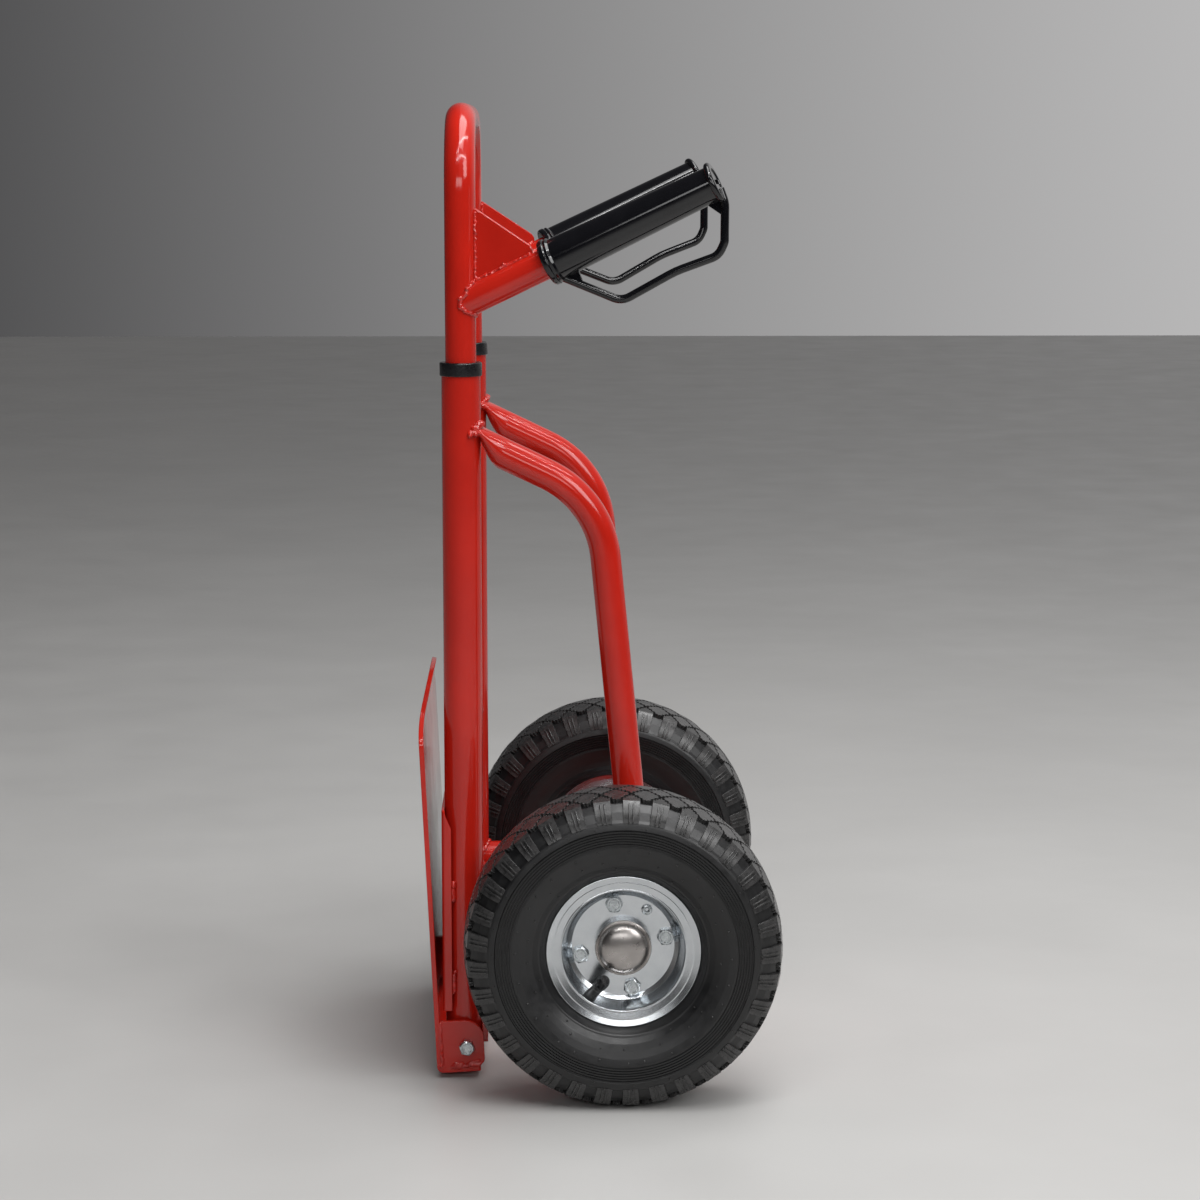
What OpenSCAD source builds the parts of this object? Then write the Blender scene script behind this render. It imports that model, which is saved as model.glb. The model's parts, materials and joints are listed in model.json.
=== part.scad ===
// Folding-toe hand truck: twin-tube welded frame, telescoping handle loop,
// folding toe plate and two pneumatic wheels on a fixed axle.
// Units are millimetres, +Z is up, the floor is z = 0. The load side (toe
// plate) faces -X, the side the user stands on (grips) faces +X, and the truck
// is symmetric about the XZ plane. "left" is -Y, the user's left hand.

/* [Wheels] */
// Outside diameter of the tyre
wheel_d = 260; // [200:5:300]
// Width of the tyre across its sidewalls
tyre_w = 85; // [70:1:100]
// Distance between the two wheels' middle planes
track = 390; // [360:5:460]
// Outside diameter of the stamped rim's flange
rim_d = 125.6; // [110:0.2:140]
// Radius of the circle of the rim bolts
bolt_circle_r = 35.5; // [30:0.5:38]
// Diameter of the fixed axle
axle_d = 20; // [16:1:20]

/* [Frame] */
// Spacing of the two uprights, centre to centre
upright_gap = 236; // [200:2:280]
// Outside diameter of the uprights
upright_d = 32; // [28:0.5:38]
// Wall of all frame tubes
wall = 1.5; // [1.2:0.1:2.5]
// Distance of the uprights in front of the axle
upright_x = 131.4; // [120:0.2:150]
// Height of the lower end of the uprights
upright_z0 = 20; // [18:1:40]
// Height of the upper end of the uprights
upright_z1 = 597; // [450:1:700]
// Outside diameter of the bent struts
strut_d = 25.4; // [20:0.2:30]
// Fall of the strut's upper leg below horizontal, degrees
strut_fall = 25.65; // [10:0.05:45]
// Slope of the strut's lower leg off vertical, degrees
strut_lean = 5.62; // [0:0.02:15]
// Bend radius of the strut, at its centre line
strut_bend = 86; // [50:1:120]
// Height of the corner where the strut's two legs would meet
strut_corner_z = 486.6; // [400:0.2:560]
// Height of the lower cross tube between the uprights
cross_low = 270; // [240:5:320]
// Height of the upper cross tube between the uprights
cross_high = 505; // [420:5:520]
// Height of the top of the fixed back plate
back_z1 = 229; // [150:1:320]
// Height of the bottom of the fixed back plate
back_z0 = 57; // [54:1:80]

/* [Handle] */
// Outside diameter of the handle loop tube
loop_d = 25.4; // [20:0.2:27]
// Height of the top of the handle loop, lowered
loop_top = 809.8; // [700:0.2:1000]
// Bend radius of the handle loop, at its centre line
loop_bend = 58; // [40:1:90]
// Travel of the telescoping handle
handle_travel = 300; // [100:10:320]
// Outside diameter of the handle bars
bar_d = 25; // [20:0.5:25]
// Height at which the handle bars' axis meets the loop leg's axis
bar_z = 646.2; // [600:0.2:700]
// Rise of the handle bars above horizontal, degrees
bar_rise = 25.5; // [0:0.5:45]
// Splay of the handle bars outwards, degrees
bar_splay = 12; // [0:1:30]
// Distance along the bar from the loop leg to the grip
grip_t0 = 80; // [60:1:120]
// Length of the grip
grip_len = 151; // [110:1:160]

/* [Toe plate] */
// Width of the toe plate
toe_w = 282; // [240:2:360]
// Length of the toe plate above its pivot, folded
toe_len = 306; // [200:1:360]
// Rise of the toe plate's curved free edge
toe_crown = 42; // [0:1:80]
// Thickness of the toe plate
toe_t = 4; // [3:0.5:6]
// Forward lean of the folded toe plate, degrees
toe_lean = 2.7; // [0:0.1:10]
// Distance of the pivot bolts in front of the axle
pivot_x = 129.5; // [120:0.1:140]
// Height of the pivot bolts
pivot_z = 27.5; // [26.5:0.1:34]

/* [Hidden] */
$fn = 64;

red = [0.69, 0.11, 0.08];
black = [0.07, 0.07, 0.08];
rubber = [0.06, 0.06, 0.06];
zinc = [0.72, 0.74, 0.76];
steel = [0.6, 0.61, 0.62];
brass = [0.75, 0.6, 0.3];

R = wheel_d / 2;
az = R;
yw = track / 2;
yt = upright_gap / 2;
ux = -upright_x;
ur = upright_d / 2;
ui = ur - wall;
lr = loop_d / 2;
br = bar_d / 2;
sr = strut_d / 2;
ar = axle_d / 2;
atr = 15;
px = -pivot_x;
pz = pivot_z;
// shift that puts the middle of the bounding box on the origin
x0 = 19.3;

// strut geometry in the xz plane: unit directions, corner, tangents, centre
su = [cos(strut_fall), 0, -sin(strut_fall)];
sl = [sin(strut_lean), 0, -cos(strut_lean)];
sturn = 90 - strut_fall - strut_lean;
sc = [-17.56, 0, strut_corner_z];
stl = strut_bend * tan(sturn / 2);
st1 = sc - stl * su;
st2 = sc + stl * sl;
scc = st1 - strut_bend * [sin(strut_fall), 0, cos(strut_fall)];
s_up = (st1[0] - ux) / su[0];
s_low = (st2[2] - az + 8) / -sl[2];

leg_z0 = 112;
loop_cz = loop_top - lr - loop_bend;
lock_z = 565;
hole_z = [lock_z - handle_travel, lock_z - 200, lock_z - 100];

// ---------- helpers ----------
// straight round bar between two points
module rod(a, b, r) {
    v = b - a;
    L = norm(v);
    translate(a) rotate([0, acos(v[2] / L), atan2(v[1], v[0])]) cylinder(h = L, r = r);
}
// child and its mirror image on the other side
module both() {
    children();
    mirror([0, 1, 0]) children();
}
// cylinder along +Y from ya to yb at (x, z)
module ycyl(x, z, ya, yb, r) {
    translate([x, ya, z]) rotate([-90, 0, 0]) cylinder(h = yb - ya, r = r);
}
// solid of revolution about the wheel axis: profile is [radius, outboard offset]
module wheel_turn(side) {
    translate([0, side * yw, az]) rotate([-side * 90, 0, 0]) rotate_extrude($fn = 96) children();
}
// child placed at a radius and angle on the wheel face, local +Z outboard
module on_wheel(side, r, a) {
    translate([0, side * yw, az]) rotate([-side * 90, 0, 0]) rotate([0, 0, -side * a]) translate([r, 0, 0]) children();
}
// frame of a handle bar: local +X runs along the bar, local -Z is under it
module on_bar() {
    translate([ux, -yt, bar_z]) rotate([0, 0, -bar_splay]) rotate([0, -bar_rise, 0]) children();
}
// frame of the toe plate at its left pivot: local +Z up the plate, -X forward
module on_toe() {
    translate([px, 0, pz]) rotate([0, -toe_lean, 0]) children();
}

// ---------- frame ----------
module upright_solid(r) { translate([ux, -yt, upright_z0]) cylinder(h = upright_z1 - upright_z0, r = r); }
module uprights() {
    color(red) both() difference() {
        upright_solid(ur);
        translate([ux, -yt, upright_z0 - 1]) cylinder(h = upright_z1 - upright_z0 + 2, r = ui);
        ycyl(px, pz, -yt - ur - 1, -yt + ur + 1, 4.05);
        ycyl(ux, lock_z, -yt, -yt + ur + 1, 4.1);
        translate([ux - ur - 1, -yt, leg_z0 - 5.4]) rotate([0, 90, 0]) cylinder(h = 2 * ur + 2, r = 3, $fn = 32);
    }
}
// round tube section
module ring2(r) {
    difference() {
        circle(r);
        circle(r - wall);
    }
}
module struts() {
    color(red) both() difference() {
        translate([0, -yt, 0]) translate(scc) rotate([90, 0, 0]) rotate([0, 0, strut_lean]) {
            rotate_extrude(angle = sturn) translate([strut_bend, 0]) ring2(sr);
            translate([strut_bend, 0, 0]) rotate([90, 0, 0]) linear_extrude(height = s_low) ring2(sr);
            rotate([0, 0, sturn]) translate([strut_bend, 0, 0]) rotate([-90, 0, 0]) linear_extrude(height = s_up) ring2(sr);
        }
        translate([ux, -yt, upright_z0]) cylinder(h = 600, r = ur);
        ycyl(0, az, -yt - 40, -yt + 40, atr);
    }
}
module cross_tubes() {
    color(red) for (z = [cross_low, cross_high]) difference() {
        ycyl(ux, z, -yt, yt, 10);
        ycyl(ux, z, -yt - 1, yt + 1, 8.5);
        both() translate([ux, -yt, z - 30]) cylinder(h = 60, r = ur);
    }
}
module axle_tube() {
    color(red) difference() {
        ycyl(0, az, -134, 134, atr);
        ycyl(0, az, -140, 140, ar + 0.05);
    }
}
module axle_braces() {
    color(red) both() difference() {
        translate([ux, -yt, az]) rotate([0, 90, 0]) cylinder(h = upright_x, r = sr);
        translate([ux - 1, -yt, az]) rotate([0, 90, 0]) cylinder(h = upright_x + 2, r = sr - wall);
        translate([ux, -yt, az - 30]) cylinder(h = 60, r = ur);
        ycyl(0, az, -yt - 40, -yt + 40, atr);
    }
}
module back_plate() {
    xf = ux - ur - 2.2;
    yo = yt + ur + 2.8;
    color(red) difference() {
        union() {
            translate([xf, -yo, back_z0]) cube([2.6, 2 * yo, back_z1 - back_z0]);
            both() translate([xf, -yo, back_z0]) cube([8, 2.5, back_z1 - back_z0]);
        }
        both() translate([ux, -yt, 0]) cylinder(h = 300, r = ur);
        both() translate([xf, -yo - 1, back_z1]) rotate([0, 0, 0]) rotate([-90, 0, 0])
            linear_extrude(height = 5) polygon([[2.6, -0.1], [8.1, -0.1], [8.1, 16]]);
    }
}
module stop_bar() {
    color(red) difference() {
        translate([ux + ur - 1.5, -yt - ur, pz + 2]) cube([5, 2 * yt + 2 * ur, 16]);
        both() translate([ux, -yt, 0]) cylinder(h = 100, r = ur);
    }
}
module collars() {
    color(black) both() difference() {
        translate([ux, -yt, upright_z1 - 8]) cylinder(h = 11, r = 17.4);
        translate([ux, -yt, upright_z1 - 9]) cylinder(h = 9, r = ur);
        translate([ux, -yt, upright_z1 - 9]) cylinder(h = 20, r = lr + 0.3);
    }
}
module handle_stop_pins() {
    color(steel) both() intersection() {
        translate([ux - ur - 1, -yt, leg_z0 - 5.4]) rotate([0, 90, 0]) cylinder(h = 2 * ur + 2, r = 3, $fn = 32);
        translate([ux, -yt, 60]) cylinder(h = 80, r = ur);
    }
}
module lock_sleeves() {
    color(red) both() difference() {
        ycyl(ux, lock_z, -yt, -yt + 32, 9);
        ycyl(ux, lock_z, -yt - 1, -yt + 33, 4.1);
        translate([ux, -yt, lock_z - 30]) cylinder(h = 60, r = ur);
    }
}
module pivot_bolts() {
    yh = -toe_w / 2 - 1.5;
    color(zinc) both() {
        ycyl(px, pz, yh - 0.2, -yt + ur + 9.5, 4);
        translate([px, yh - 5.5, pz]) rotate([-90, 30, 0]) cylinder(h = 5.3, d = 13 / cos(30), $fn = 6);
        difference() {
            ycyl(px, pz, yh - 0.2, yh + 1.2, 8);
            ycyl(px, pz, yh - 1, yh + 2, 4);
        }
    }
}
module pivot_nuts() {
    color(zinc) both() difference() {
        union() {
            translate([px, -yt + ur + 1.5, pz]) rotate([-90, 30, 0]) cylinder(h = 6.5, d = 13 / cos(30), $fn = 6);
            ycyl(px, pz, -yt + ur - 1, -yt + ur + 1.5, 8);
        }
        ycyl(px, pz, -yt, -yt + ur + 20, 4);
        translate([ux, -yt, 0]) cylinder(h = 80, r = ur);
    }
}
module pivot_spacers() {
    color(zinc) both() difference() {
        ycyl(px, pz, -toe_w / 2 + toe_t + 0.3, -yt - ur + 2, 7);
        ycyl(px, pz, -yt - 60, -yt, 4.05);
        translate([ux, -yt, 0]) cylinder(h = 80, r = ur);
    }
}
module axle() {
    color(steel) difference() {
        union() {
            ycyl(0, az, -yw - 12.5, yw + 12.5, ar);
            both() translate([0, -yw - 12.5, az]) rotate([90, 0, 0]) cylinder(h = 1.5, r1 = ar, r2 = ar - 1.5);
        }
        both() translate([0, -yw - 9.2, az - 20]) cylinder(h = 40, r = 2.1, $fn = 32);
    }
}
module axle_washers() {
    color(zinc) both() difference() {
        ycyl(0, az, -yw - 6.6, -yw - 4.4, 15);
        ycyl(0, az, -yw - 8, -yw - 3, ar + 0.05);
    }
}
module cotter_pins() {
    color(zinc) both() union() {
        translate([0, -yw - 9.2, az - 15]) cylinder(h = 29, r = 2, $fn = 32);
        translate([0, -yw - 9.2, az + 13.4]) sphere(r = 2.5, $fn = 32);
    }
}
module wheel_spacers() {
    color(zinc) both() difference() {
        ycyl(0, az, -yw + 43.3, -134, 13);
        ycyl(0, az, -yw + 40, -130, ar + 0.05);
    }
}

// ---------- telescoping handle ----------
module loop_run(r, e) {
    both() translate([ux, -yt, leg_z0 - e]) cylinder(h = loop_cz - leg_z0 + e, r = r);
    ycyl(ux, loop_cz + loop_bend, -yt + loop_bend, yt - loop_bend, r);
    both() translate([ux, -yt + loop_bend, loop_cz]) rotate([90, 0, -90]) rotate_extrude(angle = 90) translate([loop_bend, 0]) circle(r);
}
module handle_loop() {
    color(red) difference() {
        loop_run(lr, 0);
        loop_run(lr - wall, 1);
        both() for (z = hole_z) ycyl(ux, z, -yt, -yt + 20, 4.3);
    }
}
module leg_cut() { translate([ux, -yt, 500]) cylinder(h = 260, r = lr); }
module handle_bars() {
    color(red) both() difference() {
        on_bar() difference() {
            rotate([0, 90, 0]) cylinder(h = grip_t0 + grip_len - 3.4, r = br);
            translate([5, 0, 0]) rotate([0, 90, 0]) cylinder(h = grip_t0 + grip_len, r = br - wall);
        }
        leg_cut();
    }
}
module gussets() {
    color(red) both() difference() {
        translate([ux, -yt, 0]) rotate([0, 0, -bar_splay]) translate([0, 2, 0]) rotate([90, 0, 0])
            linear_extrude(height = 4) polygon([[4, 724.5], [13.5, 724.5], [58, 695.6], [60.5, 692], [60.5, 676], [4, 650]]);
        leg_cut();
        on_bar() rotate([0, 90, 0]) cylinder(h = 120, r = br);
    }
}
module grip_solid(e) {
    on_bar() translate([grip_t0, 0, 0]) rotate([0, 90, 0]) {
        cylinder(h = 10, r = 17.3 + e);
        translate([0, 0, 10]) cylinder(h = grip_len - 14, r1 = 17.3 + e, r2 = 14.4 + e);
        translate([0, 0, grip_len - 4]) cylinder(h = 4, r = 14.4 + e);
    }
}
module grips() {
    color(black) both() difference() {
        grip_solid(0);
        on_bar() translate([grip_t0 - 1, 0, 0]) rotate([0, 90, 0]) cylinder(h = grip_len - 2.2, r = br + 0.05);
    }
}
// guard outline, grip end to grip base: [along the bar, height]
te = grip_t0 + grip_len;
gk = [[te + 1.6, -14.6], [te + 0.4, -23], [te - 11, -46], [te - 16, -51.6], [te - 24, -53.8], [grip_t0 + 46, -50], [grip_t0 + 37, -46], [grip_t0 + 5, -14]];
module hand_guards() {
    color(black) both() difference() {
        on_bar() union() {
            for (i = [0:len(gk) - 2]) rod([gk[i][0], 0, gk[i][1]], [gk[i + 1][0], 0, gk[i + 1][1]], 3.1);
            for (i = [1:len(gk) - 2]) translate([gk[i][0], 0, gk[i][1]]) sphere(r = 3.3);
            translate([0, 1.5, 0]) rotate([90, 0, 0]) linear_extrude(height = 3)
                polygon([[te - 12, -10], [te + 1, -10], [te - 1, -26]]);
            translate([0, 1.5, 0]) rotate([90, 0, 0]) linear_extrude(height = 3)
                polygon([[grip_t0 + 1, -12], [grip_t0 + 28, -12], [grip_t0 + 26, -34], [grip_t0 + 20, -28]]);
            translate([grip_t0, 0, 0]) rotate([0, 90, 0]) cylinder(h = 8, r = 19.4);
            translate([te, 0, 0]) rotate([0, 90, 0]) cylinder(h = 3.2, r = 17.2);
        }
        grip_solid(0.05);
        on_bar() translate([te - 1, -2, -7]) cube([6, 4, 14]);
    }
}
module leg_plugs() {
    color(black) both() union() {
        translate([ux, -yt, leg_z0 - 2]) cylinder(h = 2, r = 14.1);
        translate([ux, -yt, leg_z0]) cylinder(h = 22, r = lr - wall);
    }
}

// ---------- lock pins (side: -1 left, +1 right) ----------
module lock_pin(side) {
    color(zinc) translate([ux, side * (yt - lr - 0.3), lock_z]) rotate([side * 90, 0, 0]) cylinder(h = 30, r = 4.03);
}
module lock_knob(side) {
    color(black) difference() {
        translate([ux, side * (yt - 32.5), lock_z]) rotate([side * 90, 0, 0]) union() {
            cylinder(h = 16, r = 11);
            translate([0, 0, 16]) cylinder(h = 2, r1 = 11, r2 = 9);
        }
        translate([ux, side * (yt - lr), lock_z]) rotate([side * 90, 0, 0]) cylinder(h = 30.3, r = 4.03);
    }
}

// ---------- toe plate ----------
module toe_plate() {
    d = 26;
    f = 22;
    b = 276;
    c = 15;
    L = toe_len - b;
    top = b + L * cos(c);
    arc = (toe_w * toe_w / 4 + toe_crown * toe_crown) / (2 * max(toe_crown, 1));
    color(red) on_toe() intersection() {
        translate([0, toe_w / 2, 0]) rotate([90, 0, 0]) linear_extrude(height = toe_w)
            polygon([
                [14.4, -f], [14.4, -f + toe_t], [-d + toe_t, -f + toe_t],
                [-d + toe_t, b + 0.5], [-d + toe_t + L * sin(c), b + L * cos(c)],
                [-d + L * sin(c), b + L * cos(c) + 1], [-d, b],
                [-d, -f + 3], [-d + 0.9, -f + 0.9], [-d + 3, -f]]);
        rotate([90, 0, 90]) translate([0, 0, -60]) linear_extrude(height = 120) union() {
            translate([-toe_w / 2, -f - 5]) square([toe_w, f + 100]);
            intersection() {
                translate([-toe_w / 2, 0]) square([toe_w, top + 20]);
                translate([0, top - arc]) circle(arc, $fn = 240);
            }
        }
    }
}
module toe_ears() {
    color(red) both() on_toe() difference() {
        translate([0, -toe_w / 2 + toe_t, 0]) rotate([90, 0, 0]) linear_extrude(height = toe_t) union() {
            translate([-22, -18]) square([36.4 - 16, 40.5]);
            translate([-22, -18]) square([36.4, 24.5]);
            translate([14.4 - 16, 6.5]) circle(16);
        }
        ycyl(0, 0, -toe_w / 2 - 1, -toe_w / 2 + toe_t + 1, 4.08);
    }
}

// ---------- wheels (side: -1 left, +1 right) ----------
module tyre(side) {
    w = tyre_w / 2;
    color(rubber) wheel_turn(side) polygon([
        [52.2, 9], [52.4, 17.2], [54, 18.2], [58.6, 20.4], [62.8, 21.2], [63.6, 23.6], [66.5, 29],
        [74, w - 7], [85, w - 2], [96, w], [106, w - 0.8], [114, w - 3.2], [121, w - 7],
        [R - 3, w - 13], [R - 0.8, w - 24], [R, w - 36],
        [R, -w + 36], [R - 0.8, -w + 24], [R - 3, -w + 13],
        [121, -w + 7], [114, -w + 3.2], [106, -w + 0.8], [96, -w], [85, -w + 2], [74, -w + 7],
        [66.5, -29], [63.6, -23.6], [62.8, -21.2], [58.6, -20.4], [54, -18.2], [52.4, -17.2], [52.2, -9],
        [60, -11], [66, -19], [75, -28], [88, -35], [100, -36], [110, -32], [117, -22], [120, -8],
        [120, 8], [117, 22], [110, 32], [100, 36], [88, 35], [75, 28], [66, 19], [60, 11]]);
}
module inner_tube(side) {
    color(rubber) wheel_turn(side) difference() {
        polygon([[58, 0], [60, 9], [65.5, 17.5], [75, 26.5], [88, 33.5], [100, 34.5], [109.5, 30.5],
            [116, 21], [118.8, 8], [118.8, -8], [116, -21], [109.5, -30.5], [100, -34.5], [88, -33.5],
            [75, -26.5], [65.5, -17.5], [60, -9]]);
        polygon([[60, 0], [62, 8], [67.5, 16], [76, 24.5], [88, 31], [99.5, 32], [108, 28.6],
            [114, 20], [116.6, 7], [116.6, -7], [114, -20], [108, -28.6], [99.5, -32], [88, -31],
            [76, -24.5], [67.5, -16], [62, -8]]);
    }
}
// one stamped rim half; k = +1 outboard, -1 inboard
module rim_half(side, k) {
    fr = rim_d / 2;
    color(zinc) difference() {
        wheel_turn(side) polygon([
            [23, 0.01 * k], [23, 2 * k], [43.6, 2 * k], [46.2, 4.4 * k], [49.4, 18 * k], [51, 20.6 * k],
            [fr - 3.6, 23.5 * k], [fr, 23.6 * k], [fr, 21.6 * k], [fr - 3.4, 21.5 * k], [52.6, 18.9 * k],
            [51.3, 17.4 * k], [48.2, 4 * k], [45.2, 0.01 * k]]);
        for (i = [0:3]) on_wheel(side, bolt_circle_r, 102 + 90 * i) translate([0, 0, -4]) cylinder(h = 8, r = 4.05, $fn = 32);
        on_wheel(side, bolt_circle_r, 57) translate([0, 0, -4]) cylinder(h = 8, r = 2.5, $fn = 32);
        if (k > 0) valve_axis(side) cylinder(h = 40, r = 5.4, center = true, $fn = 32);
    }
}
module hub(side) {
    color(steel) wheel_turn(side) polygon([
        [21, 10], [23, 10], [23, -44], [21, -44], [21, -31], [17, -31], [17, -8], [21, -8]]);
}
module bearing_ring(side, a) {
    color(steel) wheel_turn(side) polygon([
        [ar + 0.06, a], [12.4, a], [12.4, a + 0.8], [18.4, a + 0.8], [18.4, a], [21, a],
        [21, a + 12], [18.4, a + 12], [18.4, a + 11.2], [12.4, a + 11.2], [12.4, a + 12], [ar + 0.06, a + 12]]);
}
module bearings(side) {
    bearing_ring(side, -8);
    bearing_ring(side, -43);
}
module rim_bolts(side) {
    color(zinc) for (i = [0:3]) on_wheel(side, bolt_circle_r, 102 + 90 * i) {
        translate([0, 0, 2]) cylinder(h = 5, d = 13 / cos(30), $fn = 6);
        translate([0, 0, -12]) cylinder(h = 14.5, r = 4, $fn = 32);
    }
}
module rim_nuts(side) {
    color(zinc) for (i = [0:3]) on_wheel(side, bolt_circle_r, 102 + 90 * i) difference() {
        translate([0, 0, -8.5]) cylinder(h = 6.5, d = 13 / cos(30), $fn = 6);
        translate([0, 0, -10]) cylinder(h = 9, r = 4, $fn = 32);
    }
}
module hub_cap(side) {
    color(zinc) wheel_turn(side) polygon([
        [19.8, 5], [21, 5], [21, 10], [23, 10], [23, 11.2], [20.6, 11.4], [19.4, 14.4], [17, 17],
        [13, 19.4], [8, 20.8], [0, 21.4],
        [0, 20.2], [7.8, 19.6], [12.4, 18.3], [16, 16.1], [18.3, 13.8], [19.4, 11], [19.8, 10]]);
}
// valve frame: local +Z runs from the rim wall towards the hub and outboard
module valve_axis(side) {
    on_wheel(side, 48, 236) translate([0, 0, 11]) rotate([0, -55, 0]) children();
}
module valve(side) {
    color(rubber) valve_axis(side) union() {
        translate([0, 0, -1]) cylinder(h = 5, r = 5.3, $fn = 32);
        translate([0, 0, 4]) cylinder(h = 12, r1 = 5, r2 = 4, $fn = 32);
    }
}
module valve_cap(side) {
    color(black) valve_axis(side) translate([0, 0, 16]) union() {
        cylinder(h = 9, r = 4.6, $fn = 32);
        translate([0, 0, 9]) cylinder(h = 1.2, r1 = 4.6, r2 = 3.4, $fn = 32);
    }
}
module rim_rivet(side) {
    color(zinc) on_wheel(side, bolt_circle_r, 57) union() {
        translate([0, 0, -3]) cylinder(h = 5, r = 2.5, $fn = 32);
        translate([0, 0, 2]) cylinder(h = 1.6, r1 = 4.6, r2 = 3, $fn = 32);
        translate([0, 0, -3.4]) cylinder(h = 1.4, r = 4, $fn = 32);
    }
}

// ---------- assembly ----------
translate([x0, 0, 0]) {
uprights();
struts();
cross_tubes();
axle_tube();
axle_braces();
back_plate();
stop_bar();
collars();
handle_stop_pins();
lock_sleeves();
pivot_bolts();
pivot_nuts();
pivot_spacers();
axle();
axle_washers();
cotter_pins();
wheel_spacers();
handle_loop();
handle_bars();
gussets();
grips();
hand_guards();
leg_plugs();
lock_pin(-1);  // lock_pin_left
lock_knob(-1);  // lock_knob_left
lock_pin(1);  // lock_pin_right
lock_knob(1);  // lock_knob_right
toe_plate();
toe_ears();
tyre(-1);  // tyre_left
inner_tube(-1);  // inner_tube_left
rim_half(-1, 1);  // rim_outer_left
rim_half(-1, -1);  // rim_inner_left
hub(-1);  // hub_left
bearings(-1);  // bearings_left
rim_bolts(-1);  // rim_bolts_left
rim_nuts(-1);  // rim_nuts_left
hub_cap(-1);  // hub_cap_left
valve(-1);  // valve_left
valve_cap(-1);  // valve_cap_left
rim_rivet(-1);  // rim_rivet_left
tyre(1);  // tyre_right
inner_tube(1);  // inner_tube_right
rim_half(1, 1);  // rim_outer_right
rim_half(1, -1);  // rim_inner_right
hub(1);  // hub_right
bearings(1);  // bearings_right
rim_bolts(1);  // rim_bolts_right
rim_nuts(1);  // rim_nuts_right
hub_cap(1);  // hub_cap_right
valve(1);  // valve_right
valve_cap(1);  // valve_cap_right
rim_rivet(1);  // rim_rivet_right
}
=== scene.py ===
"""Looks of a folding-toe hand truck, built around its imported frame.

Everything is in metres in the row frame: +Z up, the load side faces -X, the
user's side faces +X and the left side is -Y. Sizes in the classes below are in
millimetres and are scaled once, where a mesh is made.
"""
import json
import logging
import math
import random
from dataclasses import dataclass, field
from enum import Enum
from typing import Iterable, Sequence

import bmesh
import bpy
from mathutils import Matrix, Quaternion, Vector

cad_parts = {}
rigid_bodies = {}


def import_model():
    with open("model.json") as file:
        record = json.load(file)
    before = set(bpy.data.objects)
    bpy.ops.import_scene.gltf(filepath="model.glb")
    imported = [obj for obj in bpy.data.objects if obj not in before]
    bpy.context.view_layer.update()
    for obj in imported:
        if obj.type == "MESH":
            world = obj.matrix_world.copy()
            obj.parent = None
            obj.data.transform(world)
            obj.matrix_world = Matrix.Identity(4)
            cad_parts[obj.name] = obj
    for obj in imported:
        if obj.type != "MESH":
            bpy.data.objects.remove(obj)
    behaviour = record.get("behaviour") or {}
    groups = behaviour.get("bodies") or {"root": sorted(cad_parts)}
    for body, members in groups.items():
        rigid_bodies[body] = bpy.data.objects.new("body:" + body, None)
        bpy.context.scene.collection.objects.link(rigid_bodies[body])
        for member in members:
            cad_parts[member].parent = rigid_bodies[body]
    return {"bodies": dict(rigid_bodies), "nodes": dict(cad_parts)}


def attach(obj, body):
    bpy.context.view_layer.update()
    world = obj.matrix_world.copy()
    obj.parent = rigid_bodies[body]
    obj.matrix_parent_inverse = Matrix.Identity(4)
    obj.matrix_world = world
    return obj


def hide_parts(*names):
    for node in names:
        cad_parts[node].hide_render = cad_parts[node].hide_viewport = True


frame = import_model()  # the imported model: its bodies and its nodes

MM = 0.001
WELD_GRAIN = 0.55  # grid that weld drops are fused on, mm
WELD_STEP = 0.42  # distance between drops, as a share of the bead's half width
LUMP_CHANCE = 0.16  # how often a drop of spatter sits beside the bead
CRISP = 32.0  # edges that turn more than this stay crisp, degrees
LOG = logging.getLogger("hand_truck")
Corner = Sequence[float]  # two or three coordinates, then the corner's radius
Object = bpy.types.Object


class Body(Enum):
    """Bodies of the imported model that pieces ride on."""

    FRAME = "frame"
    HANDLE = "handle"
    TOE = "toe"
    LOCK_LEFT = "lock_left"
    LOCK_RIGHT = "lock_right"
    WHEEL_LEFT = "wheel_left"
    WHEEL_RIGHT = "wheel_right"


class Slot(Enum):
    """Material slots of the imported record."""

    PAINT = "red_paint"
    PLASTIC = "black_plastic"
    TYRE = "tyre_rubber"
    BUTYL = "butyl_rubber"
    RIM = "bright_zinc"
    CAP = "polished_cap"
    STEEL = "plain_steel"
    HARDWARE = "zinc_hardware"


# ---------------------------------------------------------------- finishes
def linear(colour: str) -> tuple[float, float, float, float]:
    """Turns an sRGB hex colour to linear light.

    Args:
        colour: the colour, as "#RRGGBB".

    Returns:
        Red, green, blue and an alpha of one.
    """
    parts = [int(colour[i : i + 2], 16) / 255 for i in (1, 3, 5)]
    r, g, b = (c / 12.92 if c <= 0.04045 else ((c + 0.055) / 1.055) ** 2.4 for c in parts)
    return (r, g, b, 1.0)


def add_node(
    tree: bpy.types.NodeTree, kind: str, feeds: dict | None = None, **settings: object
) -> bpy.types.Node:
    """Adds a node with its settings, values and links.

    Args:
        tree: the node tree.
        kind: the node's type name.
        feeds: input name or number, with the value or output socket that feeds it.
        **settings: properties of the node.

    Returns:
        The new node.
    """
    node = tree.nodes.new(kind)
    for key, value in settings.items():
        setattr(node, key, value)
    for key, value in (feeds or {}).items():
        if isinstance(value, bpy.types.NodeSocket):
            tree.links.new(value, node.inputs[key])
        else:
            node.inputs[key].default_value = value
    return node


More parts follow.
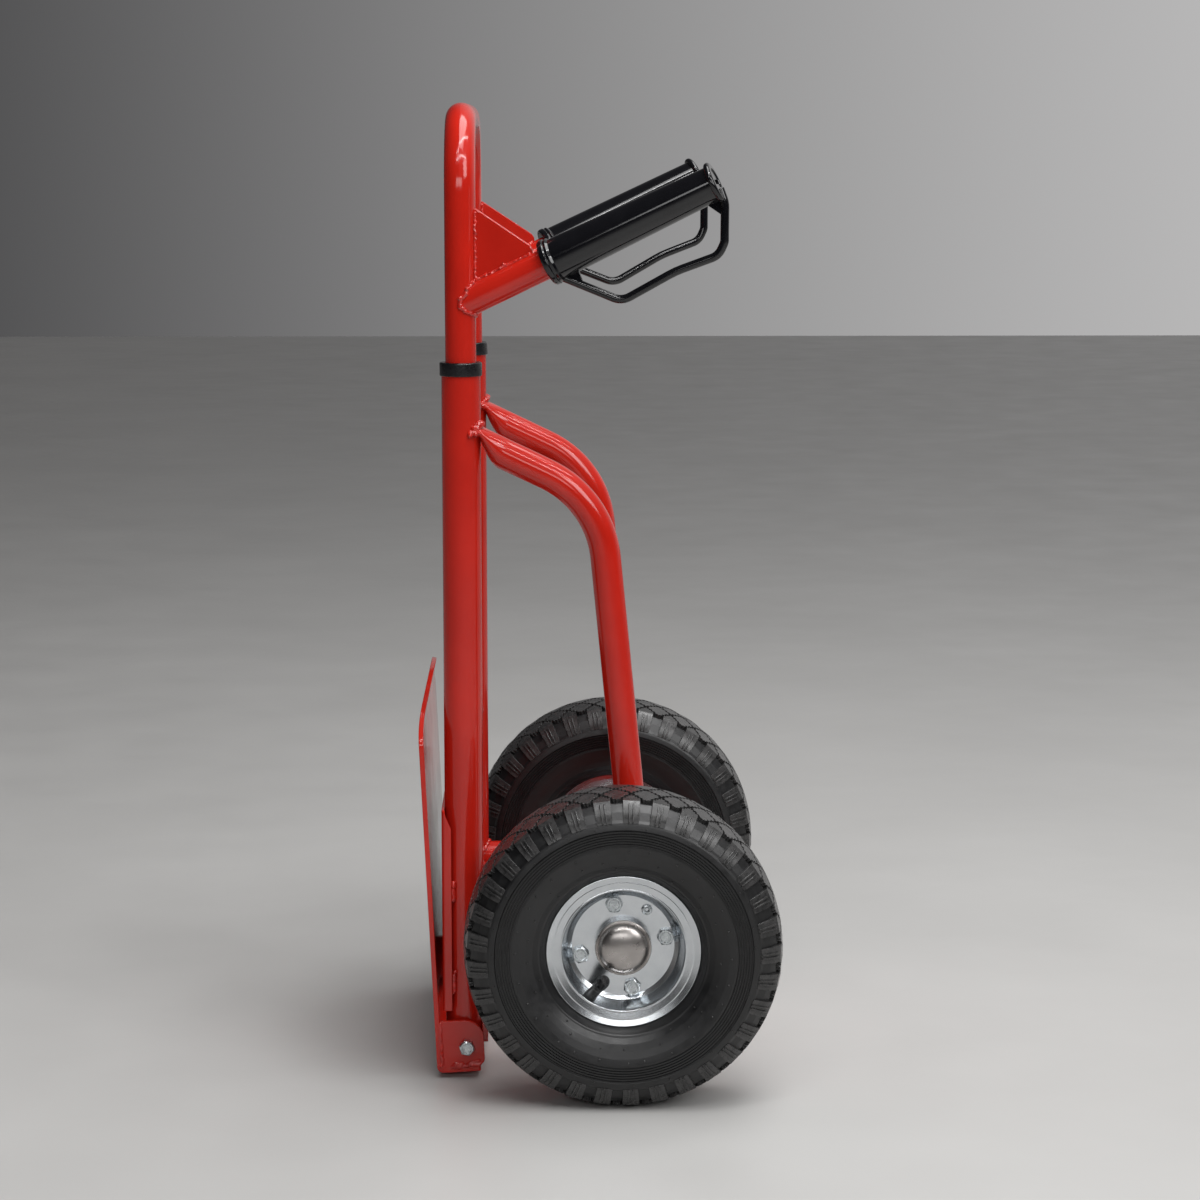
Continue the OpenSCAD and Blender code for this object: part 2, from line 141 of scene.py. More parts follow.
@dataclass(frozen=True)
class Finish:
    """A surface finish: two close tones, an uneven gloss and a fine relief.

    Sizes are real ones in millimetres; a relief that is too fine to show is
    drawn as coarse as it needs to be.
    """

    name: str
    tone: str
    second_tone: str
    tone_mm: float
    roughness: float
    roughness_spread: float
    gloss_mm: float
    relief_mm: float
    relief_height: float
    second_relief_mm: float
    second_height: float
    metallic: float = 0.0
    ior: float = 1.5
    coat: float = 0.0
    coat_roughness: float = 0.05
    stretch: tuple[float, float, float] = (1.0, 1.0, 1.0)

    def speckle(
        self, tree: bpy.types.NodeTree, place: bpy.types.NodeSocket, size: float, detail: float
    ) -> bpy.types.NodeSocket:
        """Adds a noise whose features are a real size.

        Args:
            tree: the node tree.
            place: the coordinates.
            size: feature size, mm.
            detail: octaves of the noise.

        Returns:
            The noise's value.
        """
        feeds = {"Vector": place, "Scale": 1 / (size * MM), "Detail": detail, "Roughness": 0.55}
        return add_node(tree, "ShaderNodeTexNoise", feeds).outputs[0]

    def material(self) -> bpy.types.Material:
        """Builds the material once and returns it."""
        found = bpy.data.materials.get(self.name)
        if found:
            return found
        made = bpy.data.materials.new(self.name)
        made.use_nodes = True
        tree = made.node_tree
        tree.nodes.clear()
        coords = add_node(tree, "ShaderNodeTexCoord").outputs["Object"]
        place = add_node(
            tree, "ShaderNodeMapping", {"Vector": coords, "Scale": self.stretch}
        ).outputs[0]
        blotch = self.speckle(tree, place, self.tone_mm, 3.0)
        share = add_node(
            tree,
            "ShaderNodeMapRange",
            {"Value": blotch, "From Min": 0.35, "From Max": 0.65, "To Min": 0.0, "To Max": 1.0},
        ).outputs[0]
        colour = add_node(
            tree,
            "ShaderNodeMix",
            {0: share, 6: linear(self.tone), 7: linear(self.second_tone)},
            data_type="RGBA",
        ).outputs[2]
        gloss = add_node(
            tree,
            "ShaderNodeMapRange",
            {
                "Value": self.speckle(tree, place, self.gloss_mm, 4.0),
                "From Min": 0.3,
                "From Max": 0.7,
                "To Min": max(0.02, self.roughness - self.roughness_spread),
                "To Max": self.roughness + self.roughness_spread,
            },
        ).outputs[0]
        relief: dict = {}
        for size, height in (
            (self.relief_mm, self.relief_height), (self.second_relief_mm, self.second_height)
        ):
            grain = self.speckle(tree, place, size, 2.0)
            feeds = {"Height": grain, "Distance": height * MM, "Strength": 1.0, **relief}
            relief = {"Normal": add_node(tree, "ShaderNodeBump", feeds).outputs[0]}
        shader = add_node(
            tree,
            "ShaderNodeBsdfPrincipled",
            {
                "Base Color": colour,
                "Roughness": gloss,
                **relief,
                "Metallic": self.metallic,
                "IOR": self.ior,
                "Coat Weight": self.coat,
                "Coat Roughness": self.coat_roughness,
            },
        ).outputs[0]
        add_node(tree, "ShaderNodeOutputMaterial", {"Surface": shader})
        return made


# Polyester powder coat, stoved: deep wet-looking red with a faint orange peel
# of about 2 mm, drawn a little deeper than life so that it shows.
POWDER_COAT = Finish(
    "red_powder_coat", "#BC2216", "#B01E13", 70.0, 0.12, 0.025, 40.0,
    2.4, 0.0012, 14.0, 0.004,
)
# The same coat where it has run over weld beads: thicker, so glossier.
WELD_COAT = Finish(
    "red_powder_coat_on_weld", "#C2251A", "#A91B14", 9.0, 0.14, 0.05, 6.0,
    1.1, 0.060, 3.0, 0.080, coat=0.5, coat_roughness=0.04,
)
# Natural rubber with carbon black, press moulded: dark, slightly greyed by
# bloom, with a fine grain from the spark-eroded mould.
TYRE_RUBBER = Finish(
    "moulded_tyre_rubber", "#0F0F10", "#161617", 14.0, 0.4, 0.07, 7.0,
    0.9, 0.012, 5.0, 0.080, ior=1.52,
)
# The tread blocks: the same rubber, scuffed grey and matter by the floor, and drawn lighter than the
# carcass as painted light on their tops; the vent stubs wear it as a painted highlight.
SCUFF_AND_PAINTED_LIGHT_RUBBER = Finish(
    "scuffed_rubber_with_painted_light", "#282828", "#383737", 6.0, 0.3, 0.08, 3.0,
    1.2, 0.008, 4.0, 0.030, ior=1.52,
)
# Butyl rubber of the inner tube and the valve stem: soft satin black.
BUTYL = Finish(
    "satin_butyl_rubber", "#121213", "#19191A", 9.0, 0.34, 0.08, 4.0,
    0.7, 0.015, 3.0, 0.030, ior=1.52,
)
# Injection-moulded PVC, polished mould: black with clear reflections and
# only a trace of sink marks.
GLOSS_PVC = Finish(
    "gloss_moulded_pvc", "#0B0B0E", "#101013", 30.0, 0.09, 0.015, 12.0,
    5.0, 0.0002, 22.0, 0.002, ior=1.53,
)
# Polyethylene collars and plugs: the same black, a little waxy.
WAXY_PE = Finish(
    "waxy_polyethylene", "#0D0D0F", "#131316", 15.0, 0.28, 0.06, 6.0,
    1.0, 0.006, 8.0, 0.020, ior=1.51,
)
# Pressed steel with bright zinc plate: cool silver, blurred by the drawn
# sheet's faint waviness of 5 to 10 mm.
BRIGHT_ZINC = Finish(
    "bright_zinc_plate", "#CACDD0", "#C2C6C9", 18.0, 0.22, 0.02, 9.0,
    1.4, 0.0006, 12.0, 0.006, metallic=1.0,
)
# Chromed pressed cap: a near mirror with a warm cast and light polishing haze.
POLISHED_CAP = Finish(
    "polished_chrome_cap", "#B0ABA8", "#A5A09D", 12.0, 0.3, 0.05, 6.0,
    1.2, 0.0008, 9.0, 0.020, metallic=1.0,
)
# Zinc-plated, cold-forged fasteners: duller, with barrel-plating speckle.
ZINC_FASTENER = Finish(
    "zinc_plated_fastener", "#C6CBCD", "#AFB4B7", 2.5, 0.28, 0.06, 2.0,
    0.6, 0.003, 2.5, 0.010, metallic=1.0,
)
# Bright drawn mild steel, oiled: grey, with fine drawing lines along Y.
DRAWN_STEEL = Finish(
    "bright_drawn_steel", "#A7A8A8", "#8F9091", 6.0, 0.3, 0.06, 3.0,
    0.5, 0.004, 4.0, 0.010, metallic=1.0, stretch=(1.0, 0.15, 1.0),
)
SLOT_FINISH = {
    Slot.PAINT: POWDER_COAT,
    Slot.PLASTIC: GLOSS_PVC,
    Slot.TYRE: TYRE_RUBBER,
    Slot.BUTYL: BUTYL,
    Slot.RIM: BRIGHT_ZINC,
    Slot.CAP: POLISHED_CAP,
    Slot.STEEL: DRAWN_STEEL,
    Slot.HARDWARE: ZINC_FASTENER,
}


# ---------------------------------------------------------------- geometry
def move(x: float, y: float, z: float) -> Matrix:
    """Returns a shift given in millimetres."""
    return Matrix.Translation(Vector((x, y, z)) * MM)


def turn(degrees: float, axis: str) -> Matrix:
    """Returns a turn about X, Y or Z."""
    return Matrix.Rotation(math.radians(degrees), 4, axis)


FLIP_Y = Matrix.Scale(-1, 4, Vector((0, 1, 0)))


def rounded(corners: Sequence[Corner], closed: bool = False, step: float = 12.0) -> list[Vector]:
    """Rounds the corners of a line.

    Args:
        corners: points with the radius of their corner last; zero is sharp.
        closed: whether the last point joins the first.
        step: largest turn between two points of an arc, degrees.

    Returns:
        The points of the rounded line, in the corners' unit.
    """
    spots = [Vector(c[:-1]).to_3d() if len(c) == 3 else Vector(c[:-1]) for c in corners]
    line: list[Vector] = []
    for i, (here, corner) in enumerate(zip(spots, corners)):
        radius = corner[-1]
        at_end = not closed and i in (0, len(spots) - 1)
        if radius <= 0 or at_end:
            line.append(here)
            continue
        back = spots[i - 1] - here
        ahead = spots[(i + 1) % len(spots)] - here
        bend = math.pi - back.angle(ahead)
        if bend < 0.01:
            line.append(here)
            continue
        reach = min(radius * math.tan(bend / 2), 0.49 * back.length, 0.49 * ahead.length)
        radius = reach / math.tan(bend / 2)
        start = here + back.normalized() * reach
        centre = here + (back.normalized() + ahead.normalized()).normalized() * (
            radius / math.cos(bend / 2)
        )
        axis = (-back).cross(ahead).normalized()
        count = max(2, math.ceil(math.degrees(bend) / step))
        line += [
            centre + Quaternion(axis, bend * k / count) @ (start - centre)
            for k in range(count + 1)
        ]
    return line


def link(name: str, data: bpy.types.ID | None) -> Object:
    """Makes an object from its data and links it to the scene."""
    made = bpy.data.objects.new(name, data)
    bpy.context.scene.collection.objects.link(made)
    return made


def new_piece(name: str, points: Iterable[Vector], edges: list, faces: list) -> Object:
    """Makes a mesh object from points in metres."""
    mesh = bpy.data.meshes.new(name)
    mesh.from_pydata([tuple(p) for p in points], edges, faces)
    mesh.update()
    return link(name, mesh)


def from_cage(name: str, cage: bmesh.types.BMesh) -> Object:
    """Makes a smooth-shaded object from a cage, and frees the cage."""
    mesh = bpy.data.meshes.new(name)
    cage.to_mesh(mesh)
    cage.free()
    mesh.shade_smooth()
    return link(name, mesh)


def stacked(count: int, levels: int, first: int = 0) -> list[tuple[int, ...]]:
    """Lists the faces of a closed stack of rings.

    Args:
        count: points in each ring.
        levels: number of rings.
        first: number of the first point.

    Returns:
        The end faces and the quads between the rings.
    """
    faces: list[tuple[int, ...]] = [tuple(first + k for k in reversed(range(count)))]
    for level in range(levels - 1):
        for k in range(count):
            a, b = (first + level * count + j for j in (k, (k + 1) % count))
            faces.append((a, b, b + count, a + count))
    faces.append(tuple(first + (levels - 1) * count + k for k in range(count)))
    return faces


def strip(first: int, levels: int) -> list[tuple[int, ...]]:
    """Lists the quads of a strip two points wide."""
    return [(a, a + 1, a + 3, a + 2) for a in range(first, first + 2 * (levels - 1), 2)]


def settle(piece: Object, place: Matrix | None = None, sharp: float = CRISP) -> Object:
    """Applies a piece's stack, then its place, with faces outwards.

    Args:
        piece: a mesh object at the origin.
        place: where its mesh goes in the row frame.
        sharp: edges that turn more than this stay crisp, degrees.

    Returns:
        The same object, with no modifiers left.
    """
    graph = bpy.context.evaluated_depsgraph_get()
    mesh = bpy.data.meshes.new_from_object(piece.evaluated_get(graph))
    piece.modifiers.clear()
    if place is not None:
        mesh.transform(place)
    cage = bmesh.new()
    cage.from_mesh(mesh)
    if cage.calc_volume(signed=True) < 0:
        bmesh.ops.reverse_faces(cage, faces=cage.faces)
    cage.to_mesh(mesh)
    cage.free()
    mesh.shade_smooth()
    mesh.set_sharp_from_angle(angle=math.radians(sharp))
    piece.data = mesh
    return piece


def turned(
    name: str,
    profile: Sequence[Corner],
    place: Matrix,
    steps: int = 96,
    sharp: float = CRISP,
) -> Object:
    """Turns a closed profile about its axis with a Screw.

    Args:
        name: the piece's name.
        profile: corners as radius, height along the axis and fillet, mm.
        place: the matrix from the turning axis, local Z, to the row frame.
        steps: faces round the axis.
        sharp: edges that turn more than this stay crisp, degrees.

    Returns:
        The piece in its place.
    """
    line = [Vector((p.x, 0, p.y)) * MM for p in rounded(profile, closed=True)]
    edges = [(i, (i + 1) % len(line)) for i in range(len(line))]
    piece = new_piece(name, line, edges, [])
    screw = piece.modifiers.new("turn", "SCREW")
    screw.axis = "Z"
    screw.steps = screw.render_steps = steps
    screw.use_merge_vertices = True
    screw.merge_threshold = 0.002 * MM
    return settle(piece, place, sharp)


def repeated(piece: Object, count: int) -> Object:
    """Repeats a piece evenly round local Z with an Array, and applies it.

    Args:
        piece: a mesh object at the origin, in its turning frame.
        count: how many there are in a full turn.

    Returns:
        The same object.
    """
    helper = link("one_step", None)
    helper.rotation_euler.z = math.tau / count
    bpy.context.view_layer.update()
    array = piece.modifiers.new("ring", "ARRAY")
    array.count = count
    array.use_relative_offset = False
    array.use_object_offset = True
    array.offset_object = helper
    settle(piece)
    bpy.data.objects.remove(helper)
    return piece


def joined(name: str, pieces: Sequence[Object]) -> Object:
    """Joins meshes into the first one under a new name."""
    cage = bmesh.new()
    for piece in pieces:
        cage.from_mesh(piece.data)
    for piece in pieces:
        bpy.data.objects.remove(piece)
    made = from_cage(name, cage)
    made.data.set_sharp_from_angle(angle=math.radians(CRISP))
    return made


def mirror_across(piece: Object) -> None:
    """Adds the right-hand twin of a left-hand piece with a Mirror."""
    twin = piece.modifiers.new("twin", "MIRROR")
    twin.use_axis = (False, True, False)
    twin.use_mirror_merge = False


def thicken(piece: Object, thickness: float, even: bool = False) -> None:
    """Gives a sheet its thickness in millimetres, behind its faces."""
    wall = piece.modifiers.new("thickness", "SOLIDIFY")
    wall.thickness = thickness * MM
    wall.offset = -1
    wall.use_even_offset = even


def ease_edges(piece: Object, width: float) -> None:
    """Adds a Bevel that eases the edges by a width in millimetres."""
    bevel = piece.modifiers.new("eased_edges", "BEVEL")
    bevel.width = width * MM
    bevel.segments = 2
    bevel.limit_method = "ANGLE"
    bevel.angle_limit = math.radians(30)
    bevel.harden_normals = True


def folded(
    name: str,
    pattern: Sequence[Corner],
    line: Sequence[Vector],
    thickness: float,
    place: Matrix,
    edge: float = 0.6,
) -> Object:
    """Cuts a flat pattern, then folds it along a line seen from the side.

    Args:
        name: the piece's name.
        pattern: the blank's corners as width, length along the line and radius, mm.
        line: the folded outer face seen from the side, as points in XZ, mm.
        thickness: the sheet's thickness, on the side away from the normals.
        place: the matrix from the line's frame to the row frame.
        edge: width of the eased edges, mm.

    Returns:
        The piece, with its stack live.
    """
    run = [0.0]
    for a, b in zip(line, line[1:]):
        run.append(run[-1] + (b - a).length)
    cage = bmesh.new()
    outline = reversed(rounded(pattern, closed=True, step=9))
    cage.faces.new([cage.verts.new(p) for p in outline])
    for length in run[1:-1]:
        parts = [*cage.verts, *cage.edges, *cage.faces]
        bmesh.ops.bisect_plane(cage, geom=parts, plane_co=(0, length, 0), plane_no=(0, 1, 0))
    for spot in cage.verts:
        k = max(i for i in range(len(line) - 1) if i == 0 or run[i] <= spot.co.y + 1e-4)
        share = (spot.co.y - run[k]) / (run[k + 1] - run[k])
        on_line = line[k].lerp(line[k + 1], share)
        spot.co = place @ (Vector((on_line.x, spot.co.x, on_line.z)) * MM)
    made = from_cage(name, cage)
    thicken(made, thickness, even=True)
    ease_edges(made, edge)
    return made


def oval_tube(
    name: str, line: Sequence[Vector], ovals: Sequence[tuple[float, float, float]], place: Matrix
) -> Object:
    """Sweeps an oval along a line in the XZ plane.

    Args:
        name: the piece's name.
        line: points of the line, mm.
        ovals: for each point, half height, half width and lift off the line, mm.
        place: the matrix from the line's frame to the row frame.

    Returns:
        The piece in its place, with closed ends.
    """
    count, side = 40, Vector((0, 1, 0))
    points: list[Vector] = []
    for i, (spot, (tall, wide, lift)) in enumerate(zip(line, ovals)):
        along = (line[min(i + 1, len(line) - 1)] - line[max(i - 1, 0)]).normalized()
        up = along.cross(side)
        for k in range(count):
            a = math.tau * k / count
            skin = spot + up * (lift + tall * math.sin(a)) + side * wide * math.cos(a)
            points.append(skin * MM)
    return settle(new_piece(name, points, [], stacked(count, len(line))), place)


def plate(
    name: str,
    outline: Sequence[Corner],
    thickness: float,
    place: Matrix,
    edge: float = 0.6,
    twin: bool = True,
) -> Object:
    """Cuts a flat plate: a face, its thickness and eased edges.

    Args:
        name: the piece's name.
        outline: corners of the outer face with their radii, mm, anticlockwise.
        thickness: the plate's thickness, behind the face.
        place: the matrix from the outline's XY plane to the row frame.
        edge: width of the eased edges, mm.
        twin: whether a mirrored twin stands on the other side.

    Returns:
        The piece, with its stack live.
    """
    points = [place @ (p * MM) for p in rounded(outline, closed=True)]
    piece = new_piece(name, points, [], [tuple(range(len(points)))])
    piece.data.shade_smooth()
    thicken(piece, thickness)
    if twin:
        mirror_across(piece)
    ease_edges(piece, edge)
    return piece


def tubing(name: str, paths: Sequence[Sequence[Vector]], radius: float) -> Object:
    """Runs a round bar along paths, as a curve with its own bevel.

    Args:
        name: the piece's name.
        paths: points in metres in the row frame, one list for each run.
        radius: the bar's radius, mm.

    Returns:
        The curve object.
    """
    curve = bpy.data.curves.new(name, "CURVE")
    curve.dimensions = "3D"
    curve.bevel_depth = radius * MM
    curve.bevel_resolution = 10
    curve.use_fill_caps = True
    for path in paths:
        run = curve.splines.new("POLY")
        run.points.add(len(path) - 1)
        for spot, p in zip(run.points, path):
            spot.co = (*p, 1.0)
        run.use_smooth = True
    return link(name, curve)


def hex_head(across: float, height: float, dish: float) -> tuple[list[Vector], list]:
    """Shapes a forged hexagon head: flats, chamfered crown and a dished top.

    Args:
        across: size across the flats, mm.
        height: height of the head, mm.
        dish: depth of the dish in its top, mm.

    Returns:
        Points in metres, with the head standing on z = 0, and its faces.
    """
    count, flat = 36, across / 2
    rings: list[list[Vector]] = [[], [], [], [], []]
    for k in range(count):
        a = math.tau * k / count
        out = flat / math.cos((a + math.pi / 6) % (math.pi / 3) - math.pi / 6)
        ray = Vector((math.cos(a), math.sin(a), 0))
        drop = 0.25 + (out - 0.94 * flat) * math.tan(math.radians(30))
        levels = ((out, 0), (out, height - drop), (0.93 * flat, height),
                  (0.72 * flat, height), (0.64 * flat, height - dish))
        for ring, (r, z) in zip(rings, levels):
            ring.append((ray * r + Vector((0, 0, z))) * MM)
    return [p for ring in rings for p in ring], stacked(count, len(rings))


def bolt_shank(name: str, length: float, place: Matrix, steps: int) -> Object:
    """Turns the plain shank of an M8 bolt, under a head that stands on z = 0."""
    profile = [(0, 0.5, 0), (4, 0.5, 0), (4, -length, 0.6), (0, -length, 0)]
    return turned(name, profile, place, steps)


def saddle(
    start: Vector, along: Vector, radius: float, post: Vector, post_axis: Vector, post_radius: float
) -> list[Vector]:
    """Finds where the skin of a round tube meets the skin of another.

    Args:
        start: a point on the tube's axis inside the other one, mm.
        along: the tube's direction, away from the other one.
        radius: the tube's radius, mm.
        post: a point on the other tube's axis, mm.
        post_axis: that tube's direction.
        post_radius: that tube's radius, mm.

    Returns:
        The closed seam, as points in mm.
    """
    along, post_axis = along.normalized(), post_axis.normalized()
    side = along.cross(post_axis).normalized()
    up = side.cross(along)
    flat_along = along - post_axis * along.dot(post_axis)
    seam = []
    for k in range(72):
        a = math.tau * k / 72
        p = start + (side * math.cos(a) + up * math.sin(a)) * radius
        off = p - post
        off -= post_axis * off.dot(post_axis)
        qa, qb = flat_along.length_squared, off.dot(flat_along)
        qc = off.length_squared - post_radius**2
        root = max(0.0, qb * qb - qa * qc)
        seam.append(p + along * ((-qb + math.sqrt(root)) / qa))
    return seam


@dataclass(frozen=True)
class Seam:
    """A run of weld: its points in mm, its half width and whether it closes."""

    points: Sequence[Vector]
    width: float
    closed: bool = False

    def beads(self, draw: random.Random) -> list[tuple[Vector, float]]:
        """Lays overlapping drops along the run.

        Args:
            draw: source of the drops' unevenness.

        Returns:
            The drops as centre and radius, mm.
        """
        ends = list(self.points) + ([self.points[0]] if self.closed else [])
        drops, run, due = [], 0.0, 0.0
        for a, b in zip(ends, ends[1:]):
            length = (b - a).length
            while due <= run + length:
                spot = a.lerp(b, (due - run) / max(length, 1e-6))
                ripple = 0.84 + 0.26 * abs(math.sin(math.pi * due / (2.3 * self.width)))
                wander = Vector([draw.uniform(-0.3, 0.3) * self.width for _ in range(3)])
                drops.append((spot + wander, self.width * (ripple + draw.uniform(-0.1, 0.12))))
                if draw.random() < LUMP_CHANCE:
                    lump = Vector([draw.uniform(-0.9, 0.9) * self.width for _ in range(3)])
                    drops.append((spot + lump, self.width * draw.uniform(0.7, 1.15)))
                due += WELD_STEP * self.width
            run += length
        return drops


def weld(name: str, seams: Sequence[Seam], place: Matrix) -> Object:
    """Fuses drops of weld metal into lumpy beads, with their mirrored twins.

    Args:
        name: the piece's name, which also seeds the unevenness.
        seams: the runs of weld.
        place: the matrix from the seams' frame to the row frame.

    Returns:
        The piece, with its stack live.
    """
    draw = random.Random(name)
    cage = bmesh.new()
    for seam in seams:
        for centre, radius in seam.beads(draw):
            spot = place @ Matrix.Translation(centre * MM)
            bmesh.ops.create_icosphere(cage, subdivisions=1, radius=radius * MM, matrix=spot)
    made = from_cage(name, cage)
    fuse = made.modifiers.new("fuse", "REMESH")
    fuse.mode = "VOXEL"
    fuse.voxel_size = WELD_GRAIN * MM
    fuse.use_smooth_shade = True
    soften = made.modifiers.new("soften", "SMOOTH")
    soften.factor = 0.5
    soften.iterations = 3
    mirror_across(made)
    return made


def dress(
    piece: Object,
    finish: Finish,
    body: Body,
    stands_for: Sequence[str] = (),
) -> None:
    """Gives a piece its finish and its body, and reports it.

    Args:
        piece: the piece, in place.
        finish: its finish.
        body: the body that it rides on.
        stands_for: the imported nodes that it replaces.
    """
    piece.data.materials.clear()
    piece.data.materials.append(finish.material())
    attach(piece, body.value)
    if stands_for:
        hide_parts(*stands_for)
    LOG.info("%s rides on %s in %s", piece.name, body.value, finish.name)


# ---------------------------------------------------------------- frame
@dataclass
class Chassis:
    """The welded frame: uprights, struts, axle tube and their fittings."""

    upright_x: float = -112.1
    half_gap: float = 118.0
    upright_r: float = 16.0
    upright_top: float = 597.0
    strut_r: float = 12.7
    strut_joint_z: float = 541.3
    strut_fall: float = 25.65
    strut_lean: float = 5.62
    strut_corner_x: float = 1.74
    strut_corner_z: float = 486.6
    strut_bend: float = 86.0
    strut_foot_z: float = 122.5
    pinch_start: float = 6.0
    pinch_run: float = 24.0
    pinch_flat: float = 0.64
    pinch_spread: float = 0.2
    axle_z: float = 130.0
    cross_heights: tuple[float, float] = (270.0, 505.0)
    cross_r: float = 10.0
    collar_r: float = 17.4
    back_x: float = -130.3
    back_half: float = 136.8
    back_low: float = 57.0
    back_high: float = 229.0
    back_return: float = 8.0
    back_thick: float = 2.5
    back_slope: float = 16.0
    stop_low: float = 29.5
    stop_high: float = 45.5
    stop_thick: float = 5.0
    pivot_x: float = -110.2
    pivot_z: float = 27.5
    head_across: float = 11.4

    @property
    def post(self) -> Vector:
        """A point on the left upright's axis."""
        return Vector((self.upright_x, -self.half_gap, 0))

    def build(self) -> None:
        """Builds every fitting of the frame."""
        self.struts()
        self.collars()
        self.back_plate()
        self.stop_bar()
        self.pivot_bolts()
        self.welds()

    def struts(self) -> None:
        """Bends the struts, with their top ends pinched to a lip for welding."""
        fall, lean = math.radians(self.strut_fall), math.radians(self.strut_lean)
        corner = Vector((self.strut_corner_x, 0, self.strut_corner_z))
        top = Vector((self.upright_x, 0, self.strut_joint_z)) + Vector(
            (math.cos(fall), 0, -math.sin(fall))
        ) * 9
        foot = corner + Vector((math.sin(lean), 0, -math.cos(lean))) * (
            (self.strut_corner_z - self.strut_foot_z) / math.cos(lean)
        )
        bend = rounded([(*top, 0), (*corner, self.strut_bend), (*foot, 0)], step=3)
        start = [top.lerp(bend[1], k * 2.0 / (bend[1] - top).length) for k in range(18)]
        line = start + bend[1:]
        ovals = []
        for spot in line:
            far = max(0.0, (spot - top).length - self.pinch_start) / self.pinch_run
            pinch = (1 - min(1.0, far)) ** 1.5
            tall = self.strut_r * (1 - self.pinch_flat * pinch)
            wide = self.strut_r * (1 + self.pinch_spread * pinch)
            ovals.append((tall, wide, self.strut_r - tall))
        piece = oval_tube("bent_struts", line, ovals, move(0, -self.half_gap, 0))
        mirror_across(piece)
        dress(piece, POWDER_COAT, Body.FRAME, ["struts"])

    def collars(self) -> None:
        """Turns the black guide collars on top of the uprights."""
        r, top = self.collar_r, self.upright_top
        profile = [
            (self.upright_r + 0.05, top - 8, 0), (r, top - 8, 0.5), (r, top + 3, 1.3),
            (13.05, top + 3, 0.5), (13.05, top + 0.05, 0), (self.upright_r + 0.05, top + 0.05, 0),
        ]
        piece = turned("guide_collars", profile, move(*self.post), 64)
        mirror_across(piece)
        dress(piece, WAXY_PE, Body.FRAME, ["collars"])

    def back_plate(self) -> None:
        """Bends the fixed back plate with its side returns."""
        x, half, deep = self.back_x, self.back_half, self.back_return
        plan = rounded(
            [(x + deep, half, 0), (x, half, 3), (x, -half, 3), (x + deep, -half, 0)], step=18
        )
        points = [Vector((p.x, p.y, self.back_low)) * MM for p in plan]
        for p in plan:
            cut = max(0.0, (p.x - x - 0.8) / (deep - 0.8)) * self.back_slope
            points.append(Vector((p.x, p.y, self.back_high - cut)) * MM)
        wide = len(plan)
        faces = [(c, c + 1, wide + c + 1, wide + c) for c in range(wide - 1)]
        piece = new_piece("back_panel", points, [], faces)
        piece.data.shade_smooth()
        thicken(piece, self.back_thick, even=True)
        ease_edges(piece, 0.7)
        dress(piece, POWDER_COAT, Body.FRAME, ["back_plate"])

    def stop_bar(self) -> None:
        """Cuts the flat bar that stops the toe plate when it is down."""
        x, half = self.upright_x + self.upright_r - 1.5, self.half_gap + self.upright_r
        low, high = self.stop_low, self.stop_high
        outline = [(-half, low, 1), (half, low, 1), (half, high, 1), (-half, high, 1)]
        place = move(x + self.stop_thick, 0, 0) @ turn(90, "Z") @ turn(90, "X")
        piece = plate("toe_stop_bar", outline, self.stop_thick, place, 0.8, twin=False)
        dress(piece, POWDER_COAT, Body.FRAME, ["stop_bar"])

    def pivot_bolts(self) -> None:
        """Makes the bolts that the toe plate folds on."""
        out = move(self.pivot_x, -141.2, self.pivot_z) @ turn(90, "X")
        points, faces = hex_head(self.head_across, 6.0, 0.3)
        head = settle(new_piece("pivot_head", points, [], faces), out @ turn(17, "Z"))
        shank = bolt_shank("pivot_shank", 51.7, out, 32)
        piece = joined("pivot_bolt_set", [head, shank])
        mirror_across(piece)
        dress(piece, ZINC_FASTENER, Body.FRAME, ["pivot_bolts"])

    def welds(self) -> None:
        """Lays the beads at the frame's joints."""
        up = Vector((0, 0, 1))
        lip = []
        for angle in range(-66, 67, 6):
            a = math.radians(angle)
            out = Vector((math.cos(a), math.sin(a), 0)) * (self.upright_r + 0.8)
            lip.append(self.post + out + up * (self.strut_joint_z + 8.5 - 9.5 * math.sin(a) ** 2))
        lumps = [
            self.post + Vector((9.6, -14.2, self.strut_joint_z + 1.5)),
            self.post + Vector((11.8, -12.8, self.strut_joint_z + 4.0)),
            self.post + Vector((14.6, -9.5, self.strut_joint_z + 8.0)),
            self.post + Vector((17.0, -5.0, self.strut_joint_z + 8.6)),
        ]
        skin = (self.post, up, self.upright_r)
        brace = saddle(self.post + up * self.axle_z, Vector((1, 0, 0)), self.strut_r, *skin)
        seams = [Seam(lip, 2.3), Seam(lumps, 3.1), Seam(brace, 2.2, True)]
        for z in self.cross_heights:
            tube = saddle(self.post + up * z, Vector((0, 1, 0)), self.cross_r, *skin)
            seams.append(Seam(tube, 2.0, True))
        edge = Vector((self.back_x + self.back_return + 1.4, -self.half_gap - 15.6, 0))
        for low, high in ((151, 167), (72, 90)):
            seams.append(Seam([edge + up * low, edge + up * high], 1.9))
        bar = Vector((self.upright_x + 15.2, -self.half_gap - 8, 46.2))
        seams.append(Seam([bar, bar + Vector((1.0, 8, 0)), bar + Vector((0, 16, 0))], 1.9))
        piece = weld("frame_weld_beads", seams, Matrix.Identity(4))
        dress(piece, WELD_COAT, Body.FRAME)


